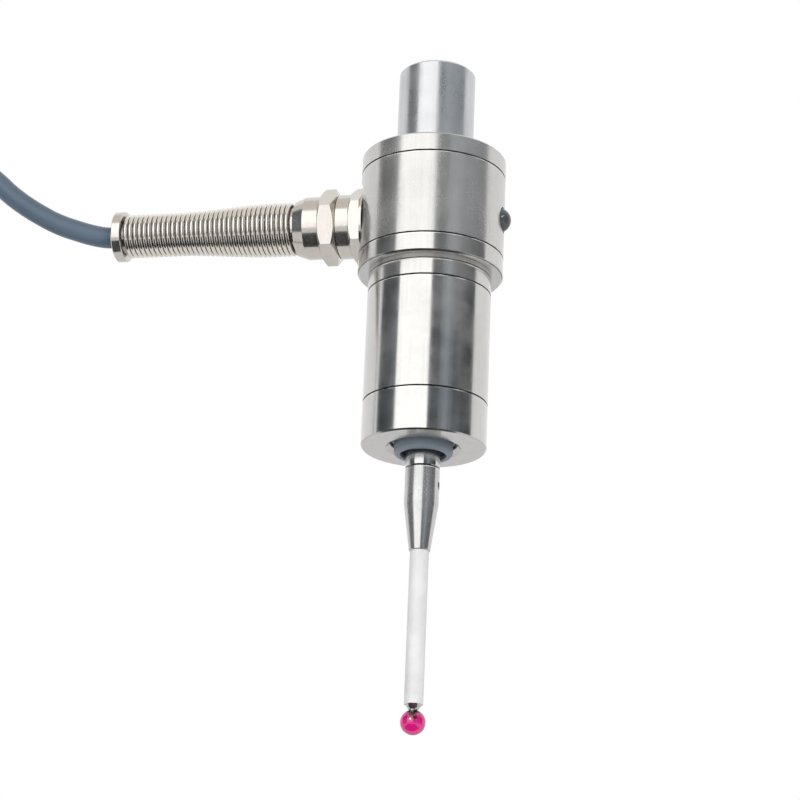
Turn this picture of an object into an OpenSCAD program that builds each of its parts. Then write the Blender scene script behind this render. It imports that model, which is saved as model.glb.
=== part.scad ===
// Cable touch probe: clamping shank, turned housing, ball-seated stylus carrier, side gland and cable.
// The origin is the centre of the shank's seat on the top cover. +Z runs up the shank, -X along the gland.

/* [Shank] */
// Diameter of the clamping shank
shank_d = 16; // [12:0.5:20]
// Length of the shank above the top cover
shank_len = 20; // [12:0.5:40]
// Chamfer at the top edge of the shank
shank_chamfer = 0.6; // [0.2:0.1:1.5]
// Diameter of the threaded spigot under the shank
spigot_d = 6; // [5:0.5:7]
// Thickness of the nut that holds the shank
shank_nut_h = 2.4; // [2:0.1:2.8]
// Width across flats of that nut
shank_nut_af = 9; // [8:0.5:10]

/* [Housing] */
// Diameter of the cover, upper body and flange
body_d = 30; // [29:0.5:36]
// Height of the top cover's rim
cover_h = 4; // [3.5:0.1:6]
// Height of the upper body
upper_h = 18; // [17.5:0.5:26]
// Wall of the upper body
upper_wall = 3.5; // [3:0.1:4.5]
// Height of the flange under the upper body
flange_h = 4.2; // [3:0.1:8]
// Height of the collar between the flange and the barrel
collar_h = 4; // [2:0.1:8]
// Diameter of the barrel, collar and nose cap
barrel_d = 25.4; // [25:0.2:28]
// Length of the barrel
barrel_h = 23.8; // [22:0.2:40]
// Wall of the barrel at both ends
barrel_wall = 2; // [1.6:0.1:2.2]
// Step between the barrel's end bores and its middle bore
barrel_step = 1.2; // [0.8:0.1:1.4]
// Height of the nose cap's rim
nose_h = 9.3; // [8.5:0.1:14]
// Thickness of the nose cap's floor
nose_floor_t = 2.5; // [2:0.1:4]
// Free gap between the boot and the hole in the nose cap's floor
nose_gap = 0.85; // [0.7:0.05:1.4]
// Width and height of the countersink around that hole
nose_countersink = 0.9; // [0.5:0.05:1.2]
// Wall of the nose cap's spigot
nose_wall = 1.45; // [1.2:0.05:1.6]
// Wall of the flange's lower spigot
spigot_wall = 2.15; // [1.9:0.05:3.5]
// Length of the spigots at the cover and at the flange's top
upper_spigot_h = 2.8; // [2.4:0.1:3.4]
// Length of the flange's lower spigot in the barrel
lower_spigot_h = 4; // [3:0.1:6]
// Length of the nose cap's spigot in the barrel
nose_spigot_h = 8; // [7.4:0.1:9]
// Small chamfer on the turned edges
edge_chamfer = 0.2; // [0.1:0.05:0.4]
// Height of the shadow groove at each seam of the housing
seam_w = 0.15; // [0.1:0.01:0.25]
// Depth of the shadow groove at each seam of the housing
seam_depth = 0.4; // [0.2:0.05:0.6]
// Section of the seal rings between the housing pieces
oring_d = 1; // [0.8:0.1:1.2]

/* [Stylus seat] */
// Diameter of the spherical bush
bush_d = 12; // [11.8:0.1:14.4]
// Height of the bush from its centre to each end face
bush_half_h = 3.6; // [3.4:0.1:3.7]
// Height of the bush's centre over the nose floor
pivot_rise = 3.3; // [3.2:0.1:3.6]
// Height of the seat's upper half
seat_cap_h = 3.2; // [3:0.1:3.3]
// Height of the threaded ring over the seat
seat_nut_h = 2.8; // [2:0.1:3.2]
// Diameter of the two guide pins
guide_pin_d = 1.5; // [1.2:0.1:1.8]
// How far a guide pin stands out of the bush
guide_pin_stand = 1.2; // [1:0.1:1.4]
// Length of the rubber boot below the nose floor
boot_len = 4; // [3.6:0.1:4.6]
// Wall of the boot at its lip
boot_wall = 1.35; // [1.2:0.05:1.7]
// Free gap between the boot's lip and the stub
boot_gap = 1.1; // [1.1:0.05:1.4]
// Free gap between the bush and its seat
seat_gap = 0.1; // [0.05:0.01:0.15]

/* [Stylus] */
// Diameter of the carrier's stub and of the stylus holder
stub_d = 7; // [6:0.1:8.4]
// Distance from the nose face to the stylus seat
stub_drop = 4.3; // [3.5:0.1:12]
// How far the carrier's head stands over the stub
head_step = 1.1; // [0.9:0.05:1.2]
// Thickness of the carrier's head
head_h = 2; // [1.6:0.1:2.2]
// Thread diameter of the stylus
thread_d = 4; // [3:0.5:4]
// Length of the stylus thread
thread_len = 6; // [4:0.5:8]
// Straight length of the stylus holder
holder_straight = 7.4; // [6:0.1:12]
// Length of the stylus holder's cone
holder_taper = 9.7; // [6:0.1:16]
// Diameter at the end of the stylus holder's cone
holder_end_d = 4.3; // [4.2:0.1:5]
// Cross hole for tightening the stylus
cross_hole_d = 1.6; // [1:0.1:2]
// Distance from the stylus seat to the cross hole
cross_hole_drop = 3.6; // [2:0.1:5]
// Diameter of the ceramic stem
stem_d = 3.8; // [3:0.1:3.9]
// Free length of the ceramic stem
stem_len = 31; // [10:0.5:80]
// Diameter of the ball
ball_d = 5; // [4:0.1:8]
// Diameter of the pin that carries the ball
ball_pin_d = 1.5; // [1:0.1:1.6]
// Diameter of the land where the pin meets the ball
ball_land_d = 2; // [1.9:0.1:3]
// Height of the cone between the stem and the ball
ball_cone_h = 1.2; // [0.8:0.1:2]

/* [Contact] */
// Axial travel of the stylus carrier
lift_travel = 3; // [2:0.1:3]
// Thickness of the contact plate
plate_t = 3; // [2:0.1:4]
// Diameter of the plunger
plunger_d = 2; // [1.6:0.1:2.2]
// Diameter of the plunger's contact disc
disc_d = 8.4; // [7:0.1:10]
// Thickness of the contact disc
disc_t = 0.8; // [0.6:0.1:1.2]
// Distance from the axis to the signal wires
wire_reach = 6.5; // [6:0.1:7]
// Thickness of the plate over the plunger spring
spring_plate_t = 2; // [1.5:0.1:2.5]
// Wire diameter of the two springs inside
inner_wire_d = 0.5; // [0.4:0.05:0.6]

/* [Electronics] */
// Diameter of the circuit board
board_d = 20.8; // [18:0.1:21]
// Thickness of the circuit board
board_t = 1.6; // [1:0.1:1.6]
// Distance from the axis to the board's screws
board_screw_reach = 8; // [7.9:0.1:8.1]
// Length of the posts that carry the board
post_h = 3.2; // [3.2:0.1:3.6]
// Diameter of the status lamp
led_d = 5.2; // [3:0.1:5.3]
// How far the lamp's tip stands out of the upper body
led_stand = 1.6; // [0.5:0.1:2.5]
// Distance from the lamp's tip to its flange
led_len = 7.6; // [7:0.1:8.4]
// Hole in the upper body for the lamp and its grommet
led_hole_d = 5.8; // [5.6:0.1:6.4]
// Thickness of the wall in front of the lamp's grommet
led_lip = 1; // [0.6:0.1:1.4]

/* [Gland] */
// Height of the gland and lamp axis below the shank seat
gland_drop = 14; // [14:0.1:18]
// Depth of the flat that the gland sits on
spot_depth = 1.4; // [1.1:0.1:1.8]
// Free edge of that flat around the hexagon's corners
spot_margin = 0.9; // [0.3:0.1:1.4]
// Width across flats of both hexagons
gland_af = 14; // [13:0.2:16.8]
// Thread diameter of the gland in the body
gland_thread_d = 9; // [8:0.5:9]
// Thickness of the seal ring under the gland
gland_ring_t = 0.5; // [0.3:0.1:1]
// Thickness of the fixed hexagon
hex_h = 2.5; // [2:0.1:5]
// Length of the round collar behind the fixed hexagon
gland_collar_h = 2.8; // [1:0.1:6]
// How far the round collar stays inside the hexagon's flats
gland_collar_step = 0.25; // [0:0.05:1]
// Thickness of the nut's hexagon
nut_hex_h = 3.7; // [3:0.1:8]
// Length of the nut's sleeve
sleeve_h = 3.2; // [2:0.1:8]
// How far the nut's sleeve stays inside the hexagon's flats
sleeve_step = 0.4; // [0.3:0.05:1]
// Length of the nut's cone
nut_cone_h = 2.3; // [1.5:0.1:4]
// Turn of the fixed hexagon about the gland's axis
hex_turn = -11; // [-30:1:30]
// Turn of the nut's hexagon about the gland's axis
nut_turn = -17; // [-30:1:30]

/* [Bend relief] */
// Outer diameter of the relief spring at the gland
relief_d = 11.4; // [11:0.1:12]
// Outer diameter of the relief spring at its far end
relief_end_d = 9.3; // [9:0.1:10]
// Wire diameter of the relief spring
relief_wire_d = 0.95; // [0.8:0.05:1]
// Number of turns of the relief spring
relief_turns = 35; // [20:1:36]
// Length of the relief spring
relief_len = 37.6; // [30:0.1:44]
// Diameter of the end cap
relief_cap_d = 10.7; // [10.4:0.1:12]
// Thickness of the end cap's rim
relief_cap_h = 2.1; // [1:0.1:4]

/* [Cable] */
// Diameter of the cable
cable_d = 4.5; // [4:0.1:4.5]
// Radius of the middle turns of the stored coil
coil_r = 24; // [22:0.5:27]
// Turns beside each other in the coil
coil_rows = 4; // [3:1:5]
// Turns on each other in the coil
coil_layers = 3; // [2:1:3]
// Width of the strap around the coil
tie_w = 6; // [4:0.5:10]
// Thickness of the strap
tie_t = 1; // [0.8:0.1:1.5]

/* [Plug] */
// Length of the plug's bend sleeve
plug_boot_len = 18; // [12:1:30]
// Length of the plug's grip
plug_grip_len = 20; // [16:1:30]
// Diameter of the plug's grip
plug_grip_d = 14.6; // [14.4:0.2:18]
// Length of the plug's open skirt
plug_skirt_len = 9; // [7:0.5:12]
// Diameter of the plug's skirt
plug_skirt_d = 13.2; // [12.8:0.1:14]
// Wall of the plug's skirt
plug_wall = 0.7; // [0.5:0.1:1]
// Diameter of the plug's contacts
plug_pin_d = 1.45; // [1.2:0.05:1.6]
// Diameter of the circle that the contacts stand on
plug_pin_circle = 7; // [6:0.1:8]

/* [Hidden] */
$fn = 96;

// Clearances: pieces that stay put, pieces that slide or turn, and pieces that only rest on each other
fit_gap = 0.05;
run_gap = 0.03;
rest_gap = 0.05;
// How far a cutting tool runs past the surface it opens
over = 1;

// Colours of the pieces
STEEL = [0.78, 0.78, 0.77];
SHANK_STEEL = [0.66, 0.68, 0.71];
NICKEL = [0.80, 0.77, 0.73];
RUBBER = [0.12, 0.12, 0.13];
GREY_RUBBER = [0.36, 0.41, 0.46];
CABLE_GREY = [0.34, 0.40, 0.46];
CERAMIC = [0.93, 0.93, 0.92];
RUBY = [0.84, 0.12, 0.50];
BRASS = [0.78, 0.62, 0.33];
BOARD_GREEN = [0.12, 0.36, 0.22];
PLASTIC = [0.16, 0.16, 0.17];
LAMP = [0.22, 0.22, 0.24];

// Radii of the housing
body_r = body_d / 2;
barrel_r = barrel_d / 2;
upper_bore_r = body_r - upper_wall;
barrel_bore_r = barrel_r - barrel_wall;
barrel_neck_r = barrel_bore_r - barrel_step;
nose_bore_r = barrel_bore_r - fit_gap - nose_wall;
flange_bore_r = barrel_bore_r - fit_gap - spigot_wall;
stub_r = stub_d / 2;
bush_r = bush_d / 2;
// Radius of the bush where it passes the nose floor, and where it leaves the seat's upper half
bush_floor_r = sqrt(pow(bush_r, 2) - pow(pivot_rise, 2));
bush_cap_r = sqrt(pow(bush_r, 2) - pow(seat_cap_h, 2));
// Room around the bush in the boot and in the ring over its seat
bush_room = 0.25;
// The boot's throat, its step to the lip and its wall
throat_step = 0.7;
throat_wall = 0.65;
boot_hole_r = stub_r + boot_gap;
boot_throat_r = max(boot_hole_r + throat_step, bush_floor_r + bush_room);
boot_r = max(boot_hole_r + boot_wall, boot_throat_r + throat_wall);
nose_hole_r = boot_r + nose_gap;
head_r = stub_r + head_step;
// Room that the carrier's head sweeps when it leans both ways at once
head_lean = 7.1;
head_rise = bush_half_h + rest_gap;
head_low = head_rise * cos(head_lean) - head_r * sin(head_lean) - seat_gap;
head_sweep_r = head_r * cos(head_lean) + head_rise * sin(head_lean) + seat_gap;
guide_pin_reach = bush_r + guide_pin_stand;
cable_r = cable_d / 2;
// Broken edge beside a seam
seam_edge = edge_chamfer / 2;

// Distances from the housing's axis to the gland's flat and to the lamp's tip
spot_reach = body_r - spot_depth;
led_reach = body_r + led_stand;
spot_d = 2 * (gland_af / sqrt(3) + spot_margin);

// Heights of the seams, from the shank seat down to the ball
z_cover = -cover_h;
z_upper = z_cover - upper_h;
z_flange = z_upper - flange_h;
z_collar = z_flange - collar_h;
z_barrel = z_collar - barrel_h;
z_nose = z_barrel - nose_h;
z_floor = z_nose + nose_floor_t;
z_seat = z_nose - stub_drop;
z_taper = z_seat - holder_straight;
z_holder = z_taper - holder_taper;
z_stem = z_holder - stem_len;
ball_r = ball_d / 2;
ball_land_r = ball_land_d / 2;
ball_land_rise = sqrt(pow(ball_r, 2) - pow(ball_land_r, 2));
z_land = z_stem - ball_cone_h;
z_ball = z_land - ball_land_rise;
// How far the stem stands in its holder, and the ball's pin in the stem and in the ball
socket_len = 6;
ball_pin_root = 3.8;
ball_pin_reach = 1.8;

// Heights inside the housing
z_pivot = z_floor + pivot_rise;
z_seat_cap = z_pivot + seat_cap_h;
z_seat_nut = z_seat_cap + seat_nut_h;
z_head = z_pivot + head_rise;
z_head_top = z_head + head_h;
// Distance from the axis to the inner end of a guide pin
guide_pin_root = stub_r + 0.8;
// Dish in the carrier's head that takes the plunger's tip
head_dish = 0.8;
head_dish_r = 2.6;
z_plate = z_barrel + nose_spigot_h;
z_plate_top = z_plate + plate_t;
strip_t = 0.3;
button_h = 0.25;
z_disc = z_plate_top + strip_t + button_h + rest_gap;
z_disc_top = z_disc + disc_t;
z_lower_spigot = z_collar - lower_spigot_h;
z_spring_plate = z_lower_spigot - spring_plate_t;
z_tip = z_head_top - head_dish + 0.3;
plunger_top_gap = 0.4;
z_plunger_top = z_spring_plate - lift_travel + plunger_top_gap;
plunger_neck_r = plunger_d / 2 - 0.2;
z_posts = z_cover - post_h;
z_board = z_posts - board_t;
// Heights of the seal rings
z_cover_oring = z_cover - upper_spigot_h / 2;
z_body_oring = z_upper + upper_spigot_h / 2;
z_barrel_oring = z_collar - lower_spigot_h / 2;
z_nose_oring = z_barrel + 2 * oring_d;
z_gland = -gland_drop;
z_lamp = -gland_drop;
board_screw_r = 1;

// Stations along the gland, measured from the housing's axis
s_hex = spot_reach + gland_ring_t;
s_collar = s_hex + hex_h;
s_nut = s_collar + gland_collar_h;
s_sleeve = s_nut + nut_hex_h;
s_cone = s_sleeve + sleeve_h;
s_spring = s_cone + nut_cone_h;
s_cap = s_spring + relief_len;
s_end = s_cap + relief_cap_h;
relief_core_d = relief_d - 2 * relief_wire_d - 0.3;
relief_end_core_d = relief_end_d - 2 * relief_wire_d - 0.3;
gland_thread_len = 3;
gland_bore_d = cable_d + 0.7;
nozzle_d = 10.6;
nozzle_len = 4.6;
gland_seal_len = 3.4;
gland_seal_d = 8;
lead_start = 8.5;
lamp_flange_h = 1;
lamp_flange_d = led_d + 0.8;

// Route of the cable from the gland's cap over a free bow down to the coil
CABLE_ROUTE = [
    [-68.3, 0, -14], [-70.5, 0, -14], [-73.5, 0, -13.4], [-77.5, 0, -12.1], [-82, 0, -10.3],
    [-86, 0, -8.1], [-90, 0, -5.5], [-93.5, 0, -2.8], [-97, 0, 0.4], [-102.5, 0, 4.9],
    [-109, 0, 8.4], [-115.5, 0, 10.5],
    [-122.5, 0, 11.1], [-129.5, 0, 10.5], [-136.5, 0, 8.4], [-143, 0.1, 4.9], [-148, 0.3, 0.4],
    [-152.5, 0.7, -5], [-156, 1.2, -11.3], [-158, 1.9, -18], [-158.5, 2.8, -25], [-158.5, 4.2, -34],
    [-158.5, 5.6, -43], [-158.5, 6.5, -52], [-158.5, 6.75, -62]
];
// Tail of the cable from the coil down to the plug
TAIL_ROUTE = [[-158.5, -6.75, -62], [-158.5, -6.75, -72], [-158.5, -6.75, -82], [-158.5, -6.75, -92]];
COIL_CENTRE = [-130, 0, -62];
PLUG_TOP = [-158.5, -6.75, -92];
// How far the plug's insert and its contacts stand in the grip
plug_insert_depth = 4;
plug_pin_tail = 2.9;

// Points of an arc in the profile plane, from angle a to angle b
function arc(x, y, r, a, b, steps = 6) =
    [for (i = [0 : steps]) [x + r * cos(a + (b - a) * i / steps), y + r * sin(a + (b - a) * i / steps)]];

// Four points of a seal ring's groove, read downwards along a spigot of radius r in a bore
function groove(r, bore, z) =
    let (half = 0.65 * oring_d, root = bore - oring_d)
    [[r, z + half], [root, z + half], [root, z - half], [r, z - half]];

// Triangles that join n rings of m points each into a closed tube
function tube_faces(n, m) = concat(
    [for (i = [0 : n - 2], j = [0 : m - 1]) [i * m + j, (i + 1) * m + j, i * m + (j + 1) % m]],
    [for (i = [0 : n - 2], j = [0 : m - 1])
        [i * m + (j + 1) % m, (i + 1) * m + j, (i + 1) * m + (j + 1) % m]],
    [[for (j = [0 : m - 1]) j]],
    [[for (j = [m - 1 : -1 : 0]) (n - 1) * m + j]]
);

function unit(v) = v / norm(v);

// Direction of a route at point i
function heading(route, i) =
    unit(route[min(i + 1, len(route) - 1)] - route[max(i - 1, 0)]);

// Ring of m points around point i of a route that never runs along Y
function route_ring(route, i, r, m) =
    let (t = heading(route, i), u = unit(cross(t, [0, 1, 0])), v = cross(u, t))
    [for (j = [0 : m - 1]) route[i] + r * (cos(360 * j / m) * u + sin(360 * j / m) * v)];

// Round tube along a route
module tube(route, r, m = 10) {
    rings = [for (i = [0 : len(route) - 1]) each route_ring(route, i, r, m)];
    polyhedron(points = rings, faces = tube_faces(len(route), m), convexity = 8);
}

// Blend from 0 to 1 with flat ends
function ease(t) = let (c = min(max(t, 0), 1)) c * c * (3 - 2 * c);

// Helical spring on Z: ra and rb are the mean radii, from and to bound the change between them
module coil_spring(ra, rb, wire, turns, length, steps = 16, sides = 6, from = 0, to = 1) {
    n = turns * steps + 1;
    rings = [
        for (i = [0 : n - 1])
            let (
                t = i / (n - 1),
                a = 360 * i / steps,
                r = ra + (rb - ra) * ease((t - from) / (to - from)),
                z = wire / 2 + (length - wire) * t
            )
            each [
                for (j = [0 : sides - 1])
                    let (w = r + wire / 2 * cos(360 * j / sides))
                    [w * cos(a), w * sin(a), z + wire / 2 * sin(360 * j / sides)]
            ]
    ];
    polyhedron(points = rings, faces = tube_faces(n, sides), convexity = 10);
}

// Turned piece from a half profile
module turned(profile) {
    rotate_extrude() polygon(profile);
}

// Seal ring that fills a bore at height z
module seal_ring(bore, z) {
    rotate_extrude()
        translate([bore - oring_d / 2, z]) circle(r = oring_d / 2 - 0.02, $fn = 32);
}

// Places a piece drawn along +Z on the gland's axis, pointing away from the housing
module on_gland(s = 0) {
    translate([-s, 0, z_gland]) rotate([0, -90, 0]) children();
}

// Places a piece drawn along +Z on the lamp's axis, pointing away from the housing
module on_lamp(s = 0) {
    translate([s, 0, z_lamp]) rotate([0, 90, 0]) children();
}

// Copies a piece to the places of the board's screws
module at_screws() {
    for (a = [60 : 120 : 300]) rotate([0, 0, a]) translate([board_screw_reach, 0, 0]) children();
}

// Copies a piece to both signal wires
module at_wires() {
    for (side = [-1, 1]) translate([0, side * wire_reach, 0]) children();
}

// Hexagon with conical corners at the chosen ends
module hexagon(af, h, turn, low, high) {
    corner = af / sqrt(3);
    land = 0.96 * af / 2;
    outer = corner + 0.5;
    drop = (outer - land) * tan(30);
    intersection() {
        rotate([0, 0, turn]) cylinder(r = corner, h = h, $fn = 6);
        turned(concat(
            [[0, 0]],
            low ? [[land, 0], [outer, drop]] : [[outer, 0]],
            high ? [[outer, h - drop], [land, h]] : [[outer, h]],
            [[0, h]]
        ));
    }
}

// Wire that leaves along +Z for a run, bends over and rises along +X
module bent_wire(run, rise, r, bend) {
    cylinder(r = r, h = run - bend, $fn = 24);
    translate([bend, 0, run - bend]) rotate([90, 0, 0]) mirror([1, 0, 0])
        rotate_extrude(angle = 90) translate([bend, 0]) circle(r = r, $fn = 24);
    translate([bend, 0, run]) rotate([0, 90, 0]) cylinder(r = r, h = rise - bend, $fn = 24);
}

// Flat on the side of the housing that the gland sits on
module spot_face() {
    on_gland(spot_reach) cylinder(d = spot_d, h = body_d);
}

module shank() {
    low = z_cover - shank_nut_h;
    color(SHANK_STEEL) turned([
        [0, low], [spigot_d / 2, low], [spigot_d / 2, 0], [shank_d / 2, 0],
        [shank_d / 2, shank_len - shank_chamfer], [shank_d / 2 - shank_chamfer, shank_len], [0, shank_len]
    ]);
}

module shank_nut() {
    color(STEEL) translate([0, 0, z_cover - shank_nut_h]) difference() {
        hexagon(shank_nut_af, shank_nut_h, 30, true, false);
        translate([0, 0, -over]) cylinder(d = spigot_d + 2 * fit_gap, h = shank_nut_h + 2 * over);
    }
}

// Edge of the piece over a seam, for an outline that runs down and then inwards
function seam_over(r, z) = [[r, z + seam_edge], [r - seam_edge, z]];

// Shadow groove in the piece under a seam, for an outline that runs outwards and then down
function seam_under(r, z) = [
    [r - seam_depth, z], [r - seam_depth, z - seam_w],
    [r - seam_edge, z - seam_w], [r, z - seam_w - seam_edge]
];

module top_cover() {
    hole = spigot_d / 2 + fit_gap;
    spigot = upper_bore_r - fit_gap;
    low = z_cover - upper_spigot_h;
    ring_wall = 2.2;
    post_r = 2.2;
    color(STEEL) difference() {
        union() {
            turned(concat(
                [[hole, 0], [body_r - 2 * edge_chamfer, 0], [body_r, -2 * edge_chamfer],
                 each seam_over(body_r, z_cover), [spigot, z_cover]],
                groove(spigot, upper_bore_r, z_cover_oring),
                [[spigot, low], [spigot - ring_wall, low], [spigot - ring_wall, z_cover], [hole, z_cover]]
            ));
            at_screws() translate([0, 0, z_posts]) cylinder(r = post_r, h = post_h + over);
        }
        at_screws() translate([0, 0, z_posts - over])
            cylinder(r = board_screw_r + fit_gap, h = post_h + 2 * over);
    }
}

module cover_oring() {
    color(RUBBER) seal_ring(upper_bore_r, z_cover_oring);
}

module upper_body() {
    color(STEEL) difference() {
        turned([
            [upper_bore_r, z_cover], each seam_under(body_r, z_cover),
            each seam_over(body_r, z_upper), [upper_bore_r, z_upper]
        ]);
        spot_face();
        on_gland() cylinder(d = gland_thread_d + 2 * fit_gap, h = body_d);
        on_lamp() cylinder(d = led_d + 4 * fit_gap, h = body_d);
        on_lamp() cylinder(d = led_hole_d, h = body_r - led_lip);
    }
}

module base_ring() {
    upper = upper_bore_r - fit_gap;
    lower = barrel_bore_r - fit_gap;
    bore = flange_bore_r;
    low_edge = 2 * edge_chamfer;
    color(STEEL) difference() {
        turned(concat(
            [[bore, z_upper + upper_spigot_h], [upper, z_upper + upper_spigot_h]],
            groove(upper, upper_bore_r, z_body_oring),
            [[upper, z_upper], each seam_under(body_r, z_upper),
             [body_r, z_flange + low_edge], [body_r - low_edge, z_flange], [barrel_r, z_flange],
             each seam_over(barrel_r, z_collar), [lower, z_collar]],
            groove(lower, barrel_bore_r, z_barrel_oring),
            [[lower, z_lower_spigot], [bore, z_lower_spigot]]
        ));
        spot_face();
    }
}

module body_oring() {
    color(RUBBER) seal_ring(upper_bore_r, z_body_oring);
}

module barrel_oring() {
    color(RUBBER) seal_ring(barrel_bore_r, z_barrel_oring);
}

module barrel() {
    color(STEEL) turned([
        [barrel_bore_r, z_collar], each seam_under(barrel_r, z_collar),
        each seam_over(barrel_r, z_barrel), [barrel_bore_r, z_barrel],
        [barrel_bore_r, z_plate_top], [barrel_neck_r, z_plate_top], [barrel_neck_r, z_lower_spigot],
        [barrel_bore_r, z_lower_spigot]
    ]);
}

module nose_cap() {
    spigot = barrel_bore_r - fit_gap;
    hole = nose_hole_r;
    face_chamfer = 1.5 * edge_chamfer;
    color(STEEL) turned(concat(
        [[nose_bore_r, z_plate], [spigot, z_plate]],
        groove(spigot, barrel_bore_r, z_nose_oring),
        [[spigot, z_barrel], each seam_under(barrel_r, z_barrel),
         [barrel_r, z_nose + face_chamfer], [barrel_r - face_chamfer, z_nose],
         [hole + nose_countersink, z_nose], [hole, z_nose + nose_countersink], [hole, z_floor],
         [nose_bore_r, z_floor]]
    ));
}

module nose_oring() {
    color(RUBBER) seal_ring(barrel_bore_r, z_nose_oring);
}

// Room for the bush and its guide pins
module seat_room() {
    slot_w = guide_pin_d + 0.1;
    slot_half_h = 1.7;
    slot_reach = guide_pin_reach + 0.3;
    translate([0, 0, z_pivot]) {
        sphere(r = bush_r + seat_gap);
        translate([-slot_w / 2, -slot_reach, -slot_half_h]) cube([slot_w, 2 * slot_reach, 2 * slot_half_h]);
    }
}

module seat_ring() {
    color(STEEL) difference() {
        translate([0, 0, z_floor]) cylinder(r = nose_bore_r - fit_gap, h = pivot_rise);
        seat_room();
    }
}

module seat_cap() {
    color(STEEL) difference() {
        translate([0, 0, z_pivot]) cylinder(r = nose_bore_r - fit_gap, h = seat_cap_h);
        seat_room();
        translate([0, 0, z_pivot + head_low]) cylinder(r = head_sweep_r, h = seat_cap_h);
    }
}

module seat_nut() {
    notch_w = 2;
    bore = max(head_r + 1.8, bush_cap_r + bush_room);
    color(STEEL) difference() {
        translate([0, 0, z_seat_cap]) cylinder(r = nose_bore_r - fit_gap, h = seat_nut_h);
        translate([0, 0, z_seat_cap - over]) cylinder(r = bore, h = seat_nut_h + 2 * over);
        translate([-nose_bore_r, -notch_w / 2, z_seat_nut - seat_nut_h / 2])
            cube([2 * nose_bore_r, notch_w, seat_nut_h]);
    }
}

module boot() {
    lip = z_floor - boot_len;
    outer = boot_r;
    hole = boot_hole_r;
    throat = boot_throat_r;
    flange = nose_hole_r - 0.3;
    z_step = z_floor - 1;
    outer_round = 0.65;
    lip_round = 0.25;
    lip_h = 0.9;
    lip_slope_h = 1.7;
    color(GREY_RUBBER) turned(concat(
        [[throat, z_floor], [flange, z_floor], [flange, z_step], [outer, z_step]],
        arc(outer - outer_round, lip + outer_round, outer_round, 0, -90),
        arc(hole + lip_round, lip + lip_round, lip_round, -90, -180, 3),
        [[hole, lip + lip_h], [throat, lip + lip_slope_h]]
    ));
}

module guide_pins() {
    color(STEEL) translate([0, 0, z_pivot])
        for (side = [-1, 1])
            rotate([-90 * side, 0, 0]) translate([0, 0, guide_pin_root])
                cylinder(d = guide_pin_d, h = guide_pin_reach - guide_pin_root, $fn = 48);
}

module ball_bush() {
    pin_root = guide_pin_root - 0.1;
    color(BRASS) translate([0, 0, z_pivot]) difference() {
        intersection() {
            sphere(r = bush_r);
            translate([0, 0, -bush_half_h]) cylinder(r = bush_r + over, h = 2 * bush_half_h);
        }
        translate([0, 0, -bush_r]) cylinder(r = stub_r + run_gap, h = bush_d);
        for (side = [-1, 1])
            rotate([-90 * side, 0, 0]) translate([0, 0, pin_root])
                cylinder(d = guide_pin_d + 2 * run_gap, h = bush_r, $fn = 48);
    }
}

module stylus_carrier() {
    thread_r = thread_d / 2 + fit_gap;
    thread_room = thread_len + 0.6;
    color(STEEL) turned([
        [0, z_seat + thread_room], [thread_r, z_seat + thread_room], [thread_r, z_seat],
        [stub_r - edge_chamfer, z_seat], [stub_r, z_seat + edge_chamfer], [stub_r, z_head],
        [head_r, z_head], [head_r, z_head_top], [head_dish_r, z_head_top],
        [head_dish_r - head_dish, z_head_top - head_dish], [0, z_head_top - head_dish]
    ]);
}

module stylus_holder() {
    socket_r = stem_d / 2 + fit_gap;
    socket_top = z_holder + socket_len + fit_gap;
    end_r = holder_end_d / 2;
    color(STEEL) difference() {
        turned([
            [0, z_seat + thread_len], [thread_d / 2 - edge_chamfer, z_seat + thread_len],
            [thread_d / 2, z_seat + thread_len - edge_chamfer], [thread_d / 2, z_seat],
            [stub_r - edge_chamfer, z_seat], [stub_r, z_seat - edge_chamfer], [stub_r, z_taper],
            [end_r, z_holder + edge_chamfer / 2], [end_r - edge_chamfer / 2, z_holder],
            [socket_r, z_holder], [socket_r, socket_top], [0, socket_top]
        ]);
        translate([-stub_d, 0, z_seat - cross_hole_drop]) rotate([0, 90, 0])
            cylinder(d = cross_hole_d, h = 2 * stub_d, $fn = 48);
    }
}

module stem() {
    pin_room = ball_pin_root + 0.2;
    pin_r = ball_pin_d / 2 + fit_gap;
    color(CERAMIC) turned([
        [0, z_holder + socket_len], [stem_d / 2, z_holder + socket_len], [stem_d / 2, z_stem],
        [pin_r, z_stem], [pin_r, z_stem + pin_room], [0, z_stem + pin_room]
    ]);
}

module ball_pin() {
    pin_r = ball_pin_d / 2;
    low = z_land - ball_pin_reach;
    shoulder = stem_d / 2 - 0.12 - ball_land_r;
    hollow = 1.6;
    steps = 6;
    color(STEEL) turned([
        [0, z_stem + ball_pin_root], [pin_r, z_stem + ball_pin_root], [pin_r, z_stem],
        for (i = [0 : steps])
            [ball_land_r + shoulder * pow(1 - i / steps, hollow), z_stem - ball_cone_h * i / steps],
        [pin_r, z_land], [pin_r, low], [0, low]
    ]);
}

module ruby_ball() {
    pin_room = ball_pin_reach + 0.2;
    color(RUBY) difference() {
        translate([0, 0, z_ball]) sphere(r = ball_r);
        translate([0, 0, z_land]) cylinder(r = ball_r, h = ball_r);
        translate([0, 0, z_land - pin_room]) cylinder(r = ball_pin_d / 2 + fit_gap, h = ball_r, $fn = 48);
    }
}

module main_spring() {
    mean_r = 3.7;
    turns = 4.5;
    color(STEEL) translate([0, 0, z_head_top + rest_gap])
        coil_spring(mean_r, mean_r, inner_wire_d, turns, z_plate - z_head_top - 2 * rest_gap);
}

module contact_plate() {
    color(PLASTIC) difference() {
        translate([0, 0, z_plate]) cylinder(r = barrel_bore_r - fit_gap, h = plate_t);
        translate([0, 0, z_plate - over]) cylinder(d = plunger_d + 2 * run_gap, h = plate_t + 2 * over);
    }
}

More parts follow.
